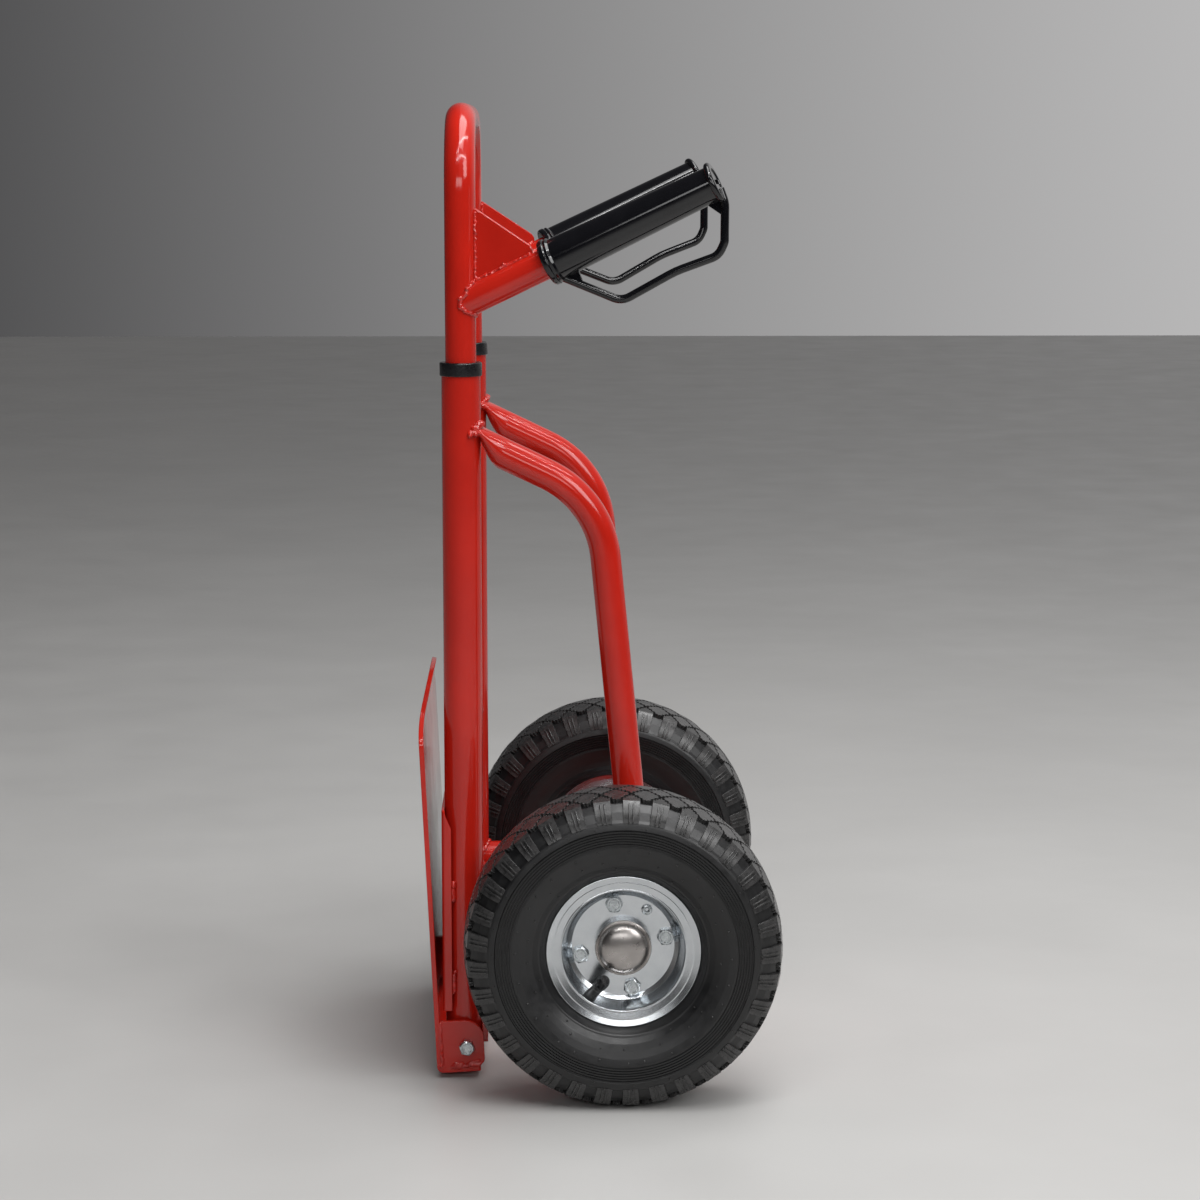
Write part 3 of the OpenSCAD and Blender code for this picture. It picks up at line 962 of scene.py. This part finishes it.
# ---------------------------------------------------------------- handle
@dataclass
class Handle:
    """The telescoping loop with its two handle bars, grips and guards."""

    leg_x: float = -112.1
    half_gap: float = 118.0
    leg_r: float = 12.7
    bar_z: float = 646.2
    bar_r: float = 12.5
    rise: float = 25.5
    splay: float = 12.0
    grip_start: float = 80.0
    grip_len: float = 151.0
    grip_r: float = 17.3
    grip_end_r: float = 14.4
    wire_r: float = 3.5
    web_thick: float = 3.0
    gusset_thick: float = 4.0

    @property
    def on_bar(self) -> Matrix:
        """Frame of the left bar: local X runs along it, local -Z is under it."""
        post = move(self.leg_x, -self.half_gap, self.bar_z)
        return post @ turn(-self.splay, "Z") @ turn(-self.rise, "Y")

    @property
    def along_bar(self) -> Matrix:
        """Frame of the left bar with local Z along it."""
        return self.on_bar @ turn(90, "Y")

    @property
    def gusset_frame(self) -> Matrix:
        """Frame of the left gusset's outer face: local X rearwards, Y up."""
        leg = move(self.leg_x, -self.half_gap, 0) @ turn(-self.splay, "Z")
        return leg @ move(0, -self.gusset_thick / 2, 0) @ turn(90, "X")

    def build(self) -> None:
        """Builds the pieces of the handle."""
        self.gussets()
        self.grips()
        self.guards()
        self.welds()

    def gussets(self) -> None:
        """Cuts the triangular gussets between the loop and the bars."""
        outline = [
            (4, 650, 0), (60.5, 676, 1), (60.5, 692, 3), (58, 695.6, 2), (13.5, 724.5, 2),
            (4, 724.5, 0),
        ]
        piece = plate("handle_gusset_plates", outline, self.gusset_thick, self.gusset_frame, 0.8)
        dress(piece, POWDER_COAT, Body.HANDLE, ["gussets"])

    def grips(self) -> None:
        """Turns the tapered grips."""
        start, end = self.grip_start, self.grip_start + self.grip_len
        profile = [
            (12.6, start, 0), (self.grip_r, start, 1.0), (self.grip_r, start + 10, 8),
            (self.grip_end_r, end - 4, 4), (self.grip_end_r, end, 0.6), (0, end, 0),
            (0, end - 2.2, 0), (12.6, end - 2.2, 0),
        ]
        piece = turned("tapered_grips", profile, self.along_bar, 72)
        mirror_across(piece)
        dress(piece, GLOSS_PVC, Body.HANDLE, ["grips"])

    def guards(self) -> None:
        """Makes the knuckle guards: rings, wires, webs and slotted ends."""
        start, end = self.grip_start, self.grip_start + self.grip_len
        ring = turned(
            "guard_root", [
                (self.grip_r - 0.1, start, 0), (18.4, start, 0.6), (19.4, start + 1.6, 0.8),
                (19.4, start + 4.4, 0.6), (18.4, start + 5.2, 0.4), (18.5, start + 6.4, 0.4),
                (18.9, start + 7.4, 0.6), (17.2, start + 9.4, 0),
            ], self.along_bar, 72,
        )
        disc = turned(
            "guard_disc", [
                (0, end - 1.8, 0), (17.2, end - 1.8, 2.3), (17.2, end + 3.2, 2.3),
                (11.6, end + 3.2, 1.0), (10.9, end + 2.2, 0.4), (0, end + 2.2, 0),
            ], self.along_bar, 72,
        )
        slot = plate(
            "slot_cutter", [(-2, -7, 1.9), (2, -7, 1.9), (2, 7, 1.9), (-2, 7, 1.9)], 8,
            self.along_bar @ move(0, 0, end + 6), 0.05, twin=False,
        )
        cut = disc.modifiers.new("slot", "BOOLEAN")
        cut.object = slot
        cut.solver = "EXACT"
        bpy.context.view_layer.update()
        settle(disc)
        bpy.data.objects.remove(slot)
        rings = joined("guard_end_rings", [ring, disc])
        mirror_across(rings)
        dress(rings, GLOSS_PVC, Body.HANDLE, ["hand_guards"])

        line = rounded([
            (end + 2.6, 0, -6, 0), (end + 1.6, 0, -18, 20), (end - 12, 0, -46, 10),
            (end - 21, 0, -53.6, 15), (end - 58, 0, -50.2, 80), (start + 43, 0, -53.4, 16),
            (start + 5, 0, -13, 0),
        ], step=9)
        left = [self.on_bar @ (p * MM) for p in line]
        right = [Vector((p.x, -p.y, p.z)) for p in left]
        wires = tubing("guard_wires", [left, right], self.wire_r)
        dress(wires, GLOSS_PVC, Body.HANDLE)

        flat = self.on_bar @ move(0, -1.5, 0) @ turn(90, "X")
        tip = plate("guard_tip_webs", [
            (end - 13, -12, 0), (end - 4, -27, 0.5), (end + 1, -12, 0),
        ], self.web_thick, flat, 0.4)
        dress(tip, GLOSS_PVC, Body.HANDLE)
        root = plate("guard_root_webs", [
            (start + 1, -11, 0), (start + 16, -25, 0), (start + 21, -27, 0.5), (start + 22, -11, 0),
        ], self.web_thick, flat, 0.4)
        dress(root, GLOSS_PVC, Body.HANDLE)

    def welds(self) -> None:
        """Lays the beads round the bars and along the gussets."""
        post, up = Vector((self.leg_x, -self.half_gap, 0)), Vector((0, 0, 1))
        rise, splay = math.radians(self.rise), math.radians(self.splay)
        along = Vector((
            math.cos(rise) * math.cos(splay), -math.cos(rise) * math.sin(splay), math.sin(rise)
        ))
        bar = saddle(post + up * self.bar_z, along, self.bar_r, post, up, self.leg_r)
        piece = weld("handle_bar_beads", [Seam(bar, 2.1, True)], Matrix.Identity(4))
        dress(piece, WELD_COAT, Body.HANDLE)
        crown = self.bar_r / math.cos(rise)
        seams = []
        for side in (0.4, -4.4):
            rear, front = 59.0, 13.2
            seams.append(Seam([
                Vector((u, self.bar_z + u * math.tan(rise) + crown, side)) for u in (front, rear)
            ], 1.7))
            seams.append(Seam([Vector((front, z, side)) for z in (668, 722)], 1.3))
        piece = weld("gusset_beads", seams, self.gusset_frame)
        dress(piece, WELD_COAT, Body.HANDLE)


# ---------------------------------------------------------------- lock pins
@dataclass
class LockKnobs:
    """The round pull knobs of the two height locks."""

    x: float = -112.1
    y: float = -85.5
    z: float = 565.0
    radius: float = 11.0
    length: float = 18.0
    flutes: int = 12

    def build(self) -> None:
        """Makes a fluted knob for each side."""
        r, deep = self.radius, self.length
        for body, flip in ((Body.LOCK_LEFT, False), (Body.LOCK_RIGHT, True)):
            place = move(self.x, self.y, self.z) @ turn(-90, "X")
            if flip:
                place = FLIP_Y @ place
            side = body.value.split("_")[1]
            core = turned(f"knob_core_{side}", [
                (0, 0, 0), (r - 1.5, 0, 1), (r - 0.8, 3, 1), (r - 0.8, deep - 3, 2),
                (r - 2.4, deep, 1.4), (0, deep, 0),
            ], place, 64)
            rib = turned(f"knob_rib_{side}", [
                (0, 2.2, 0), (1.5, 2.2, 0.6), (1.5, deep - 3.4, 0.6), (0, deep - 3.4, 0),
            ], move(r - 1.5, 0, 0), 12)
            repeated(rib, self.flutes)
            settle(rib, place)
            piece = joined(f"lock_pull_knob_{side}", [core, rib])
            dress(piece, GLOSS_PVC, body, [f"lock_knob_{side}"])


# ---------------------------------------------------------------- toe plate
@dataclass
class ToePlate:
    """The folding toe plate and its two pivot ears."""

    pivot_x: float = -110.2
    pivot_z: float = 27.5
    lean: float = 2.7
    half_width: float = 141.0
    thick: float = 4.0
    front: float = 26.0
    flange: float = 22.0
    flange_rear: float = 10.8
    bend_height: float = 276.0
    bend: float = 15.0
    tip: float = 30.0
    crown: float = 42.0
    corner_r: float = 12.0

    @property
    def on_toe(self) -> Matrix:
        """Frame at the pivot: local Z up the folded plate, local -X forward."""
        return move(self.pivot_x, 0, self.pivot_z) @ turn(-self.lean, "Y")

    def build(self) -> None:
        """Builds the plate, its ears and their welds."""
        self.plate()
        self.ears()
        self.welds()

    def plate(self) -> None:
        """Bends the toe plate, with its arched free edge."""
        a = math.radians(self.bend)
        line = rounded([
            (self.flange_rear, 0, -self.flange + 0.3, 0), (-self.front, 0, -self.flange, 5.5),
            (-self.front, 0, self.bend_height, 70),
            (-self.front + self.tip * math.sin(a), 0, self.bend_height + self.tip * math.cos(a), 0),
        ], step=5)
        run, flat = 0.0, [(0.0, line[0].z)]
        for p, q in zip(line, line[1:]):
            run += (q - p).length
            flat.append((run, q.z))

        def along(height: float) -> float:
            """Returns the length along the fold line at a height."""
            for (s0, z0), (s1, z1) in zip(flat[1:], flat[2:]):
                if z0 <= height <= z1:
                    return s0 + (s1 - s0) * (height - z0) / (z1 - z0)
            return flat[-1][0]

        half, top = self.half_width, line[-1].z
        arc = (half**2 + self.crown**2) / (2 * self.crown)
        edge = [
            (half * k / 24, along(top - arc + math.sqrt(arc**2 - (half * k / 24) ** 2)), 0.0)
            for k in range(20, -21, -1)
        ]
        corner = along(top - self.crown)
        pattern = [
            (-half, 0.0, 2), (half, 0.0, 2), (half, corner, self.corner_r), *edge,
            (-half, corner, self.corner_r),
        ]
        piece = folded("folding_toe_sheet", pattern, line, self.thick, self.on_toe, 0.8)
        dress(piece, POWDER_COAT, Body.TOE, ["toe_plate"])

    def ears(self) -> None:
        """Cuts the pivot ears with their rounded rear corner."""
        outline = [
            (-22.2, -18.5, 0.5), (14.4, -15.8, 5), (14.4, 22.5, 16), (-22.2, 22.5, 1.5),
        ]
        place = self.on_toe @ move(0, -self.half_width, 0) @ turn(90, "X")
        piece = plate("pivot_ear_plates", outline, self.thick, place, 0.8)
        dress(piece, POWDER_COAT, Body.TOE, ["toe_ears"])

    def welds(self) -> None:
        """Lays the beads that hold the ears to the plate."""
        y = -self.half_width + 0.6
        seams = [
            Seam([Vector((-21.4, y, z)) for z in (-15, 21)], 1.7),
            Seam([Vector((-14, y, -17.2)), Vector((-6, y, -16.6)), Vector((11, y, -15.4))], 2.1),
            Seam([Vector((-12, y - 0.5, -15.2)), Vector((-4, y - 0.5, -14.2))], 1.8),
            Seam([Vector((1, y - 0.4, -14.6)), Vector((10, y - 0.4, -12.4))], 1.4),
        ]
        piece = weld("ear_weld_beads", seams, self.on_toe)
        dress(piece, WELD_COAT, Body.TOE)


# ---------------------------------------------------------------- wheels
@dataclass
class Wheel:
    """One pneumatic wheel, built for the left and mirrored for the right.

    Heights in the profiles are distances outboard of the wheel's middle plane.
    """

    side: str
    axle_x: float = 19.3
    axle_z: float = 130.0
    half_track: float = 195.0
    bolt_circle: float = 35.5
    bolt_angle: float = 102.0
    rivet_angle: float = 57.0
    valve_angle: float = 236.0
    head_twists: tuple[float, ...] = (-12.0, 34.0, 5.0, 22.0)
    blocks: int = 33
    groove: float = 1.45
    tooth: float = 1.25
    lug_half: float = 3.15
    block_depth: float = 4.6
    rib_depth: float = 1.6
    envelope: list[tuple[float, float]] = field(default_factory=lambda: [
        (0, 130), (6.5, 130), (18.5, 129.2), (29.5, 127), (35.5, 121), (39.3, 114), (40.5, 110.6),
    ])

    @property
    def body(self) -> Body:
        """The body that this wheel is."""
        return Body.WHEEL_LEFT if self.side == "left" else Body.WHEEL_RIGHT

    @property
    def place(self) -> Matrix:
        """From the wheel's own frame, local Z outboard, to the row frame."""
        left = move(self.axle_x, -self.half_track, self.axle_z) @ turn(90, "X")
        return left if self.side == "left" else FLIP_Y @ left

    def named(self, name: str) -> str:
        """Returns a piece's name with the wheel's side."""
        return f"{name}_{self.side}"

    def build(self) -> None:
        """Builds the tyre, the rim and the fittings."""
        self.carcass()
        self.tread()
        self.vent_stubs()
        self.rim()
        self.cap()
        self.bolts()
        self.rivet()
        self.valve()

    def carcass(self) -> None:
        """Turns the tyre's body with its fine sidewall ribs."""
        outer = [
            (126.4, 0, 0), (126.4, 6.5, 0), (125.6, 18, 0), (124.0, 28.0, 3), (118.6, 34.0, 6),
            (112.4, 37.9, 3), (110.6, 40.0, 0.6), (108.8, 40.9, 0.8), (105.2, 41.8, 0.5),
        ]
        for k in range(6):
            r = 103.6 - 2.1 * k
            ridge = ((0.6, 41.3), (0.3, 42.45), (-0.3, 42.45), (-0.6, 41.3))
            outer += [(r + off, height, 0) for off, height in ridge]
        outer += [
            (90.5, 41.6, 1), (85, 40.2, 6), (79.5, 37.8, 6), (74, 34.9, 5), (69.6, 31.0, 4),
            (68.4, 30.6, 0.4), (67.6, 29.9, 0.4), (66.4, 28.0, 2), (64.6, 25.6, 0.8), (63.4, 23.4, 0.4),
            (62.8, 21.2, 0), (58.6, 20.4, 0), (54, 18.2, 0), (52.4, 17.2, 0), (52.2, 9, 0),
        ]
        inner = [
            (60, 11, 0), (66, 19, 0), (75, 28, 0), (88, 35, 0), (100, 36, 0), (110, 31, 0),
            (117, 22, 0), (120, 8, 0),
        ]
        half = outer + inner
        other = [(r, -h, f) for r, h, f in reversed(half)]
        piece = turned(self.named("tyre_body"), half + other[:-1], self.place, 144, sharp=50)
        dress(piece, TYRE_RUBBER, self.body, [f"tyre_{self.side}"])

    def on_tyre(self, angle: float, across: float, proud: float = 0.0) -> Vector:
        """Finds a point on the tread's outer surface.

        Args:
            angle: round the wheel, degrees.
            across: distance from the middle plane, mm.
            proud: height above the surface, mm.

        Returns:
            The point in the wheel's frame, mm.
        """
        for (w0, r0), (w1, r1) in zip(self.envelope, self.envelope[1:]):
            if across <= w1 + 1e-6:
                break
        share = (across - w0) / (w1 - w0)
        slope = Vector((r1 - r0, w1 - w0)).normalized()
        radius = r0 + (r1 - r0) * share + proud * slope.y
        height = across - proud * slope.x
        a = math.radians(angle)
        return Vector((radius * math.cos(a), radius * math.sin(a), height))

    def notched(self, a: Corner, b: Corner, inward: float = 1.0) -> list[tuple[float, float]]:
        """Cuts small square teeth in a block's edge.

        Args:
            a: start of the edge, as degrees round and mm across.
            b: end of the edge.
            inward: one where the teeth cut in, minus one where they stand out.

        Returns:
            The edge's points, without its end.
        """
        per_degree = math.radians(1) * 130
        flat = Vector(((b[0] - a[0]) * per_degree, b[1] - a[1]))
        normal = Vector((-flat.y, flat.x)).normalized() * self.tooth * inward
        spots, teeth = [(a[0], a[1])], 7 if flat.length > 9 else 3
        for k in range(1, teeth):
            depths = (0, 1) if k % 2 else (1, 0)
            for depth in depths:
                t = k / teeth
                spots.append((
                    a[0] + (b[0] - a[0]) * t + normal.x * depth / per_degree,
                    a[1] + (b[1] - a[1]) * t + normal.y * depth,
                ))
        return spots

    def tread(self) -> None:
        """Cuts one pitch of the tread, then repeats it round the tyre."""
        pitch = 360 / self.blocks
        half, tall = pitch / 2, 15.0
        reach = half * math.radians(1) * 130
        keep = 1 - self.groove / (reach * tall / math.hypot(reach, tall))
        side, end = half * keep, tall * keep
        points: list[Vector] = []
        faces: list[tuple[int, ...]] = []

        def add(outline: Sequence[tuple[float, float]], proud: float = 0.0) -> None:
            """Adds one outline of degrees and mm across as a face."""
            first = len(points)
            points.extend(self.on_tyre(a, w, proud) * MM for a, w in outline)
            faces.append(tuple(range(first, len(points))))

        # middle block, half of it, cut on the mirror plane
        add([(side, 0), *self.notched((side, 0), (0, end))[1:], (0, end),
             *self.notched((0, end), (-side, 0))[1:], (-side, 0)])
        # outer block, its outward tip cut flat
        tip = 27.6
        cut = side * (tall + end - tip) / end
        low, mid = tall - end, tall
        ring = [
            (half + side, mid), (half + cut, tip), (half - cut, tip), (half - side, mid), (half, low),
        ]
        add([
            *self.notched(ring[0], ring[1], -1), ring[1],
            *self.notched(ring[2], ring[3], -1), *self.notched(ring[3], ring[4], -1),
            *self.notched(ring[4], ring[0], -1),
        ])
        # shoulder lug: a gabled head that runs down the shoulder
        gable = (tall * 2 - end, 15 * (1 + self.lug_half / half) + 1.2)
        wide = self.lug_half
        head = [(wide, gable[1]), (wide, 29.5), (-wide, 29.5), (-wide, gable[1]),
                *self.notched((-wide, gable[1]), (0, gable[0]))[1:], (0, gable[0]),
                *self.notched((0, gable[0]), (wide, gable[1]))[1:]]
        add(list(reversed(head)))
        first = len(points)
        steps = (29.5, 35.5, 39.3, 40.5)
        for across in steps:
            points.extend(self.on_tyre(a, across) * MM for a in (-wide, wide))
        faces += strip(first, len(steps))
        piece = new_piece(self.named("tyre_tread"), points, [], faces)
        cage = bmesh.new()
        cage.from_mesh(piece.data)
        bmesh.ops.remove_doubles(cage, verts=cage.verts, dist=0.01 * MM)
        for face in cage.faces:
            out = face.calc_center_median()
            out.z *= 0.2
            if face.normal.dot(out) < 0:
                face.normal_flip()
        cage.to_mesh(piece.data)
        cage.free()
        thicken(piece, self.block_depth)
        ribs = self.lug_ribs()
        edge = piece.modifiers.new("eased_edges", "BEVEL")
        edge.width = 0.4 * MM
        edge.segments = 1
        edge.limit_method = "ANGLE"
        edge.angle_limit = math.radians(50)
        settle(piece)
        piece = joined(self.named("tyre_tread_blocks"), [piece, ribs])
        twin = piece.modifiers.new("other_shoulder", "MIRROR")
        twin.use_axis = (False, False, True)
        twin.use_mirror_merge = True
        twin.merge_threshold = 0.005 * MM
        settle(piece)
        repeated(piece, self.blocks)
        settle(piece, self.place)
        # The blocks take the lighter rubber: real scuff, plus painted light on their tops.
        dress(piece, SCUFF_AND_PAINTED_LIGHT_RUBBER, self.body)

    def lug_ribs(self) -> Object:
        """Makes the two thin ribs that stand on each shoulder lug."""
        points, faces = [], []
        steps = (32.0, 35.5, 39.3, 40.4)
        for middle in (-0.78, 0.78):
            first = len(points)
            for across in steps:
                points += [self.on_tyre(middle + a, across, 1.3) * MM for a in (-0.3, 0.3)]
            faces += strip(first, len(steps))
        piece = new_piece("lug_ribs", points, [], faces)
        thicken(piece, self.rib_depth)
        round_top = piece.modifiers.new("round_top", "BEVEL")
        round_top.width = 0.3 * MM
        round_top.segments = 2
        round_top.limit_method = "ANGLE"
        round_top.angle_limit = math.radians(50)
        return settle(piece, sharp=80)

    def vent_stubs(self) -> None:
        """Scatters the small stubs that the mould's vents leave."""
        draw = random.Random(7)
        rings = (
            (87.6, 40.9, 28, 0.95), (78.0, 37.0, 21, 0.85), (107.0, 41.3, 22, 0.6),
            (72.0, 33.0, 11, 0.7),
        )
        points: list[Vector] = []
        faces: list[tuple[int, ...]] = []
        for radius, height, count, size in rings:
            for k in range(count):
                a = math.tau * (k + draw.uniform(-0.3, 0.3)) / count
                out = radius + draw.uniform(-1.2, 1.2)
                first = len(points)
                for level, share in ((-0.8, 1.0), (0.5, 0.9), (1.0, 0.45)):
                    for j in range(6):
                        b = math.tau * j / 6
                        points.append(Vector((
                            out * math.cos(a) + size * share * math.cos(b),
                            out * math.sin(a) + size * share * math.sin(b),
                            height + level,
                        )) * MM)
                faces += stacked(6, 3, first)
        piece = settle(new_piece(self.named("sidewall_vent_stubs"), points, [], faces), self.place)
        # The stubs take the lighter tread rubber as a painted highlight, as if each caught the light.
        dress(piece, SCUFF_AND_PAINTED_LIGHT_RUBBER, self.body)

    def rim(self) -> None:
        """Turns the outer rim half with its soft pressed bends."""
        profile = [
            (23, 2, 0), (41.8, 2, 0.8), (45.6, 4.8, 1.2), (49.4, 18.6, 1.5), (50.5, 20.9, 0.9),
            (51.8, 20.3, 1), (56.9, 22.0, 0.6), (57.6, 21.8, 0.5), (62.2, 23.6, 0.4),
            (62.8, 23.4, 0.3), (62.8, 21.4, 0.5),
            (58.6, 20.4, 1), (52.6, 18.9, 1.5), (51.3, 17.4, 1), (48.2, 4, 1.5), (45.2, 0.02, 1),
            (23, 0.02, 0),
        ]
        piece = turned(self.named("rim_outer_shell"), profile, self.place, 144, sharp=40)
        dress(piece, BRIGHT_ZINC, self.body, [f"rim_outer_{self.side}"])

    def cap(self) -> None:
        """Turns the domed hub cap with its rolled rim."""
        arch = [(90 - 9 * k) for k in range(10)]
        dome = [
            (20.5 * math.cos(math.radians(a)), 13.0 + 8.4 * math.sin(math.radians(a)), 0.0)
            for a in reversed(arch)
        ]
        profile = [
            (19.8, 5, 0), (21, 5, 0), (21, 10, 0), (23, 10, 0.3), (23, 11.6, 0.7), (21.3, 12.4, 0.5),
            (20.7, 11.6, 0.3), *dome, (0, 20.4, 0), (12.4, 18.5, 0), (18.4, 14.0, 0), (19.6, 12, 0),
        ]
        piece = turned(self.named("hub_dome"), profile, self.place, 96, sharp=40)
        dress(piece, POLISHED_CAP, self.body, [f"hub_cap_{self.side}"])

    def bolts(self) -> None:
        """Sets the four rim bolts."""
        pieces = []
        for k, twist in enumerate(self.head_twists):
            points, faces = hex_head(12.4, 4.6, 0.5)
            spin = turn(self.bolt_angle + 90 * k, "Z") @ move(self.bolt_circle, 0, 2)
            pieces.append(settle(new_piece("rim_head", points, [], faces), spin @ turn(twist, "Z")))
            pieces.append(bolt_shank("rim_shank", 14, spin, 24))
        piece = joined(self.named("rim_bolt_set"), pieces)
        settle(piece, self.place)
        dress(piece, ZINC_FASTENER, self.body, [f"rim_bolts_{self.side}"])

    def rivet(self) -> None:
        """Turns the tubular rivet beside the bolts."""
        spot = self.place @ turn(self.rivet_angle, "Z") @ move(self.bolt_circle, 0, 0)
        profile = [
            (1.3, -3, 0), (2.4, -3, 0), (2.4, 2, 0), (4.5, 2, 0.2), (4.4, 2.7, 0.5), (2.6, 3.5, 0.6),
            (1.3, 2.6, 0.3),
        ]
        piece = turned(self.named("tubular_rivet"), profile, spot, 40)
        dress(piece, ZINC_FASTENER, self.body, [f"rim_rivet_{self.side}"])

    def valve(self) -> None:
        """Turns the rubber valve stem and its ribbed cap."""
        spot = (
            self.place @ turn(self.valve_angle, "Z") @ move(48, 0, 11) @ turn(-55, "Y")
        )
        stem = turned(self.named("valve_stem"), [
            (0, -1, 0), (5.3, -1, 0), (5.3, 2.2, 0.6), (4.9, 4, 1), (4.6, 12.6, 1), (4.9, 13.6, 0.5),
            (4.9, 15.6, 0.4), (0, 15.6, 0),
        ], spot, 40)
        dress(stem, BUTYL, self.body, [f"valve_{self.side}"])
        core = turned("cap_core", [
            (0, 15.4, 0), (4.9, 15.4, 0.4), (4.9, 24.4, 1), (3.9, 26.2, 0.6), (2.6, 26.2, 0.3),
            (2.2, 25.6, 0.2), (0, 25.6, 0),
        ], Matrix.Identity(4), 40)
        rib = turned("cap_rib", [
            (0, 16.4, 0), (0.65, 16.4, 0.2), (0.65, 23.6, 0.3), (0, 23.6, 0),
        ], move(4.8, 0, 0), 8)
        repeated(rib, 14)
        cap = joined(self.named("ribbed_valve_cap"), [core, rib])
        settle(cap, spot)
        dress(cap, WAXY_PE, self.body, [f"valve_cap_{self.side}"])


# ---------------------------------------------------------------- studio
@dataclass
class Studio:
    """The floor, the soft lights and the camera."""

    floor_tone: str = "#BFBEBC"
    eye: tuple[float, float, float] = (-40.56, -2619.44, 791.43)
    yaw: float = 0.97
    pitch: float = 8.83
    lens: float = 91.73
    sky_shares: tuple[tuple[str, float, float, float, float], ...] = (
        ("Y", -0.3, 0.8, 0.0, 1.0), ("Z", 0.1, 0.85, 0.0, 0.9), ("X", -0.3, 0.4, 0.05, 1.0),
    )

    def build(self) -> None:
        """Sets up the whole studio."""
        self.floor()
        self.sky()
        self.lights()
        self.camera()

    def floor(self) -> None:
        """Lays a plain pale floor."""
        reach = 9.0
        signs = ((-1, -1), (1, -1), (1, 1), (-1, 1))
        corners = [Vector((x * reach, y * reach, 0)) for x, y in signs]
        piece = new_piece("studio_floor", corners, [], [(0, 1, 2, 3)])
        # Painted screed, rolled: pale and satin with cloudy gloss.
        finish = Finish(
            "pale_floor_paint", self.floor_tone, "#BAB9B7", 400.0, 0.42, 0.06, 120.0,
            3.0, 0.001, 30.0, 0.002,
        )
        piece.data.materials.append(finish.material())

    def sky(self) -> None:
        """Fills the room with soft light that is dimmer towards -X."""
        world = bpy.data.worlds.new("soft_room")
        bpy.context.scene.world = world
        world.use_nodes = True
        tree = world.node_tree
        tree.nodes.clear()
        coords = add_node(tree, "ShaderNodeTexCoord").outputs["Generated"]
        axes = add_node(tree, "ShaderNodeSeparateXYZ", {0: coords}).outputs
        shares = [
            add_node(
                tree, "ShaderNodeMapRange",
                {"Value": axes[axis], "From Min": low, "From Max": high, "To Min": least, "To Max": most},
                interpolation_type="SMOOTHSTEP",
            ).outputs[0]
            for axis, low, high, least, most in self.sky_shares
        ]
        lit = add_node(tree, "ShaderNodeMath", {0: shares[0], 1: shares[1]}, operation="MAXIMUM")
        level = add_node(tree, "ShaderNodeMath", {0: lit.outputs[0], 1: shares[2]}, operation="MULTIPLY")
        tone = add_node(
            tree, "ShaderNodeMix",
            {0: level.outputs[0], 6: linear("#2C2C2F"), 7: linear("#E9E8E8")}, data_type="RGBA",
        ).outputs[2]
        glow = add_node(tree, "ShaderNodeBackground", {"Color": tone, "Strength": 0.7}).outputs[0]
        add_node(tree, "ShaderNodeOutputWorld", {"Surface": glow})

    def lights(self) -> None:
        """Hangs two long strips, a ceiling, a key on the right and a low band in front."""
        plan = (
            ("strip_high", (0.4, -0.6, 2.3), (0.1, -0.15, 0.6), 2.8, 0.045, 13.0),
            ("strip_low", (0.4, -1.5, 2.2), (0.1, -0.15, 0.6), 2.8, 0.045, 15.0),
            ("ceiling", (0.5, -0.2, 3.0), (0.0, -0.1, 0.3), 2.6, 1.2, 52.0),
            ("right_key", (1.9, -2.0, 2.0), (0.0, -0.1, 0.35), 1.3, 1.1, 26.0),
            ("low_band", (-0.2, -3.1, 1.34), (0.0, -0.2, 0.15), 2.4, 0.5, 15.0),
        )
        for name, where, aim, long, wide, power in plan:
            light = bpy.data.lights.new(name, "AREA")
            light.shape = "RECTANGLE"
            light.size, light.size_y, light.energy = long, wide, power
            lamp = link(name, light)
            lamp.location = where
            lamp.rotation_mode = "QUATERNION"
            lamp.rotation_quaternion = (Vector(aim) - Vector(where)).to_track_quat("-Z", "Y")

    def camera(self) -> None:
        """Stands the camera low in front of the left side."""
        yaw, pitch = math.radians(self.yaw), math.radians(self.pitch)
        ahead = Vector((
            math.sin(yaw) * math.cos(pitch), math.cos(yaw) * math.cos(pitch), -math.sin(pitch)
        ))
        data = bpy.data.cameras.new("side_camera")
        data.lens = self.lens
        data.sensor_width = 36.0
        data.clip_end = 60.0
        camera = link("side_camera", data)
        camera.location = Vector(self.eye) * MM
        camera.rotation_mode = "QUATERNION"
        camera.rotation_quaternion = ahead.to_track_quat("-Z", "Y")
        bpy.context.scene.camera = camera


def clear_other_objects() -> None:
    """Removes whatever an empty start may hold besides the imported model."""
    known = {*frame["nodes"].values(), *frame["bodies"].values()}
    for other in [o for o in bpy.data.objects if o not in known]:
        bpy.data.objects.remove(other)


def finish_packed_nodes() -> None:
    """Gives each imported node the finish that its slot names."""
    for name, node in frame["nodes"].items():
        for place in node.material_slots:
            slot = Slot(place.material.name.split(".")[0])
            place.material = SLOT_FINISH[slot].material()
        LOG.info("%s keeps its shape", name)


def main() -> None:
    """Builds the hand truck's looks in order."""
    logging.basicConfig(level=logging.INFO, format="%(name)s: %(message)s")
    clear_other_objects()
    bpy.context.view_layer.update()
    bpy.context.scene.view_settings.view_transform = "Standard"
    finish_packed_nodes()
    for part in (Chassis(), Handle(), LockKnobs(), ToePlate(), Wheel("left"), Wheel("right")):
        part.build()
    Studio().build()
    bpy.context.view_layer.update()


if __name__ == "__main__":
    main()
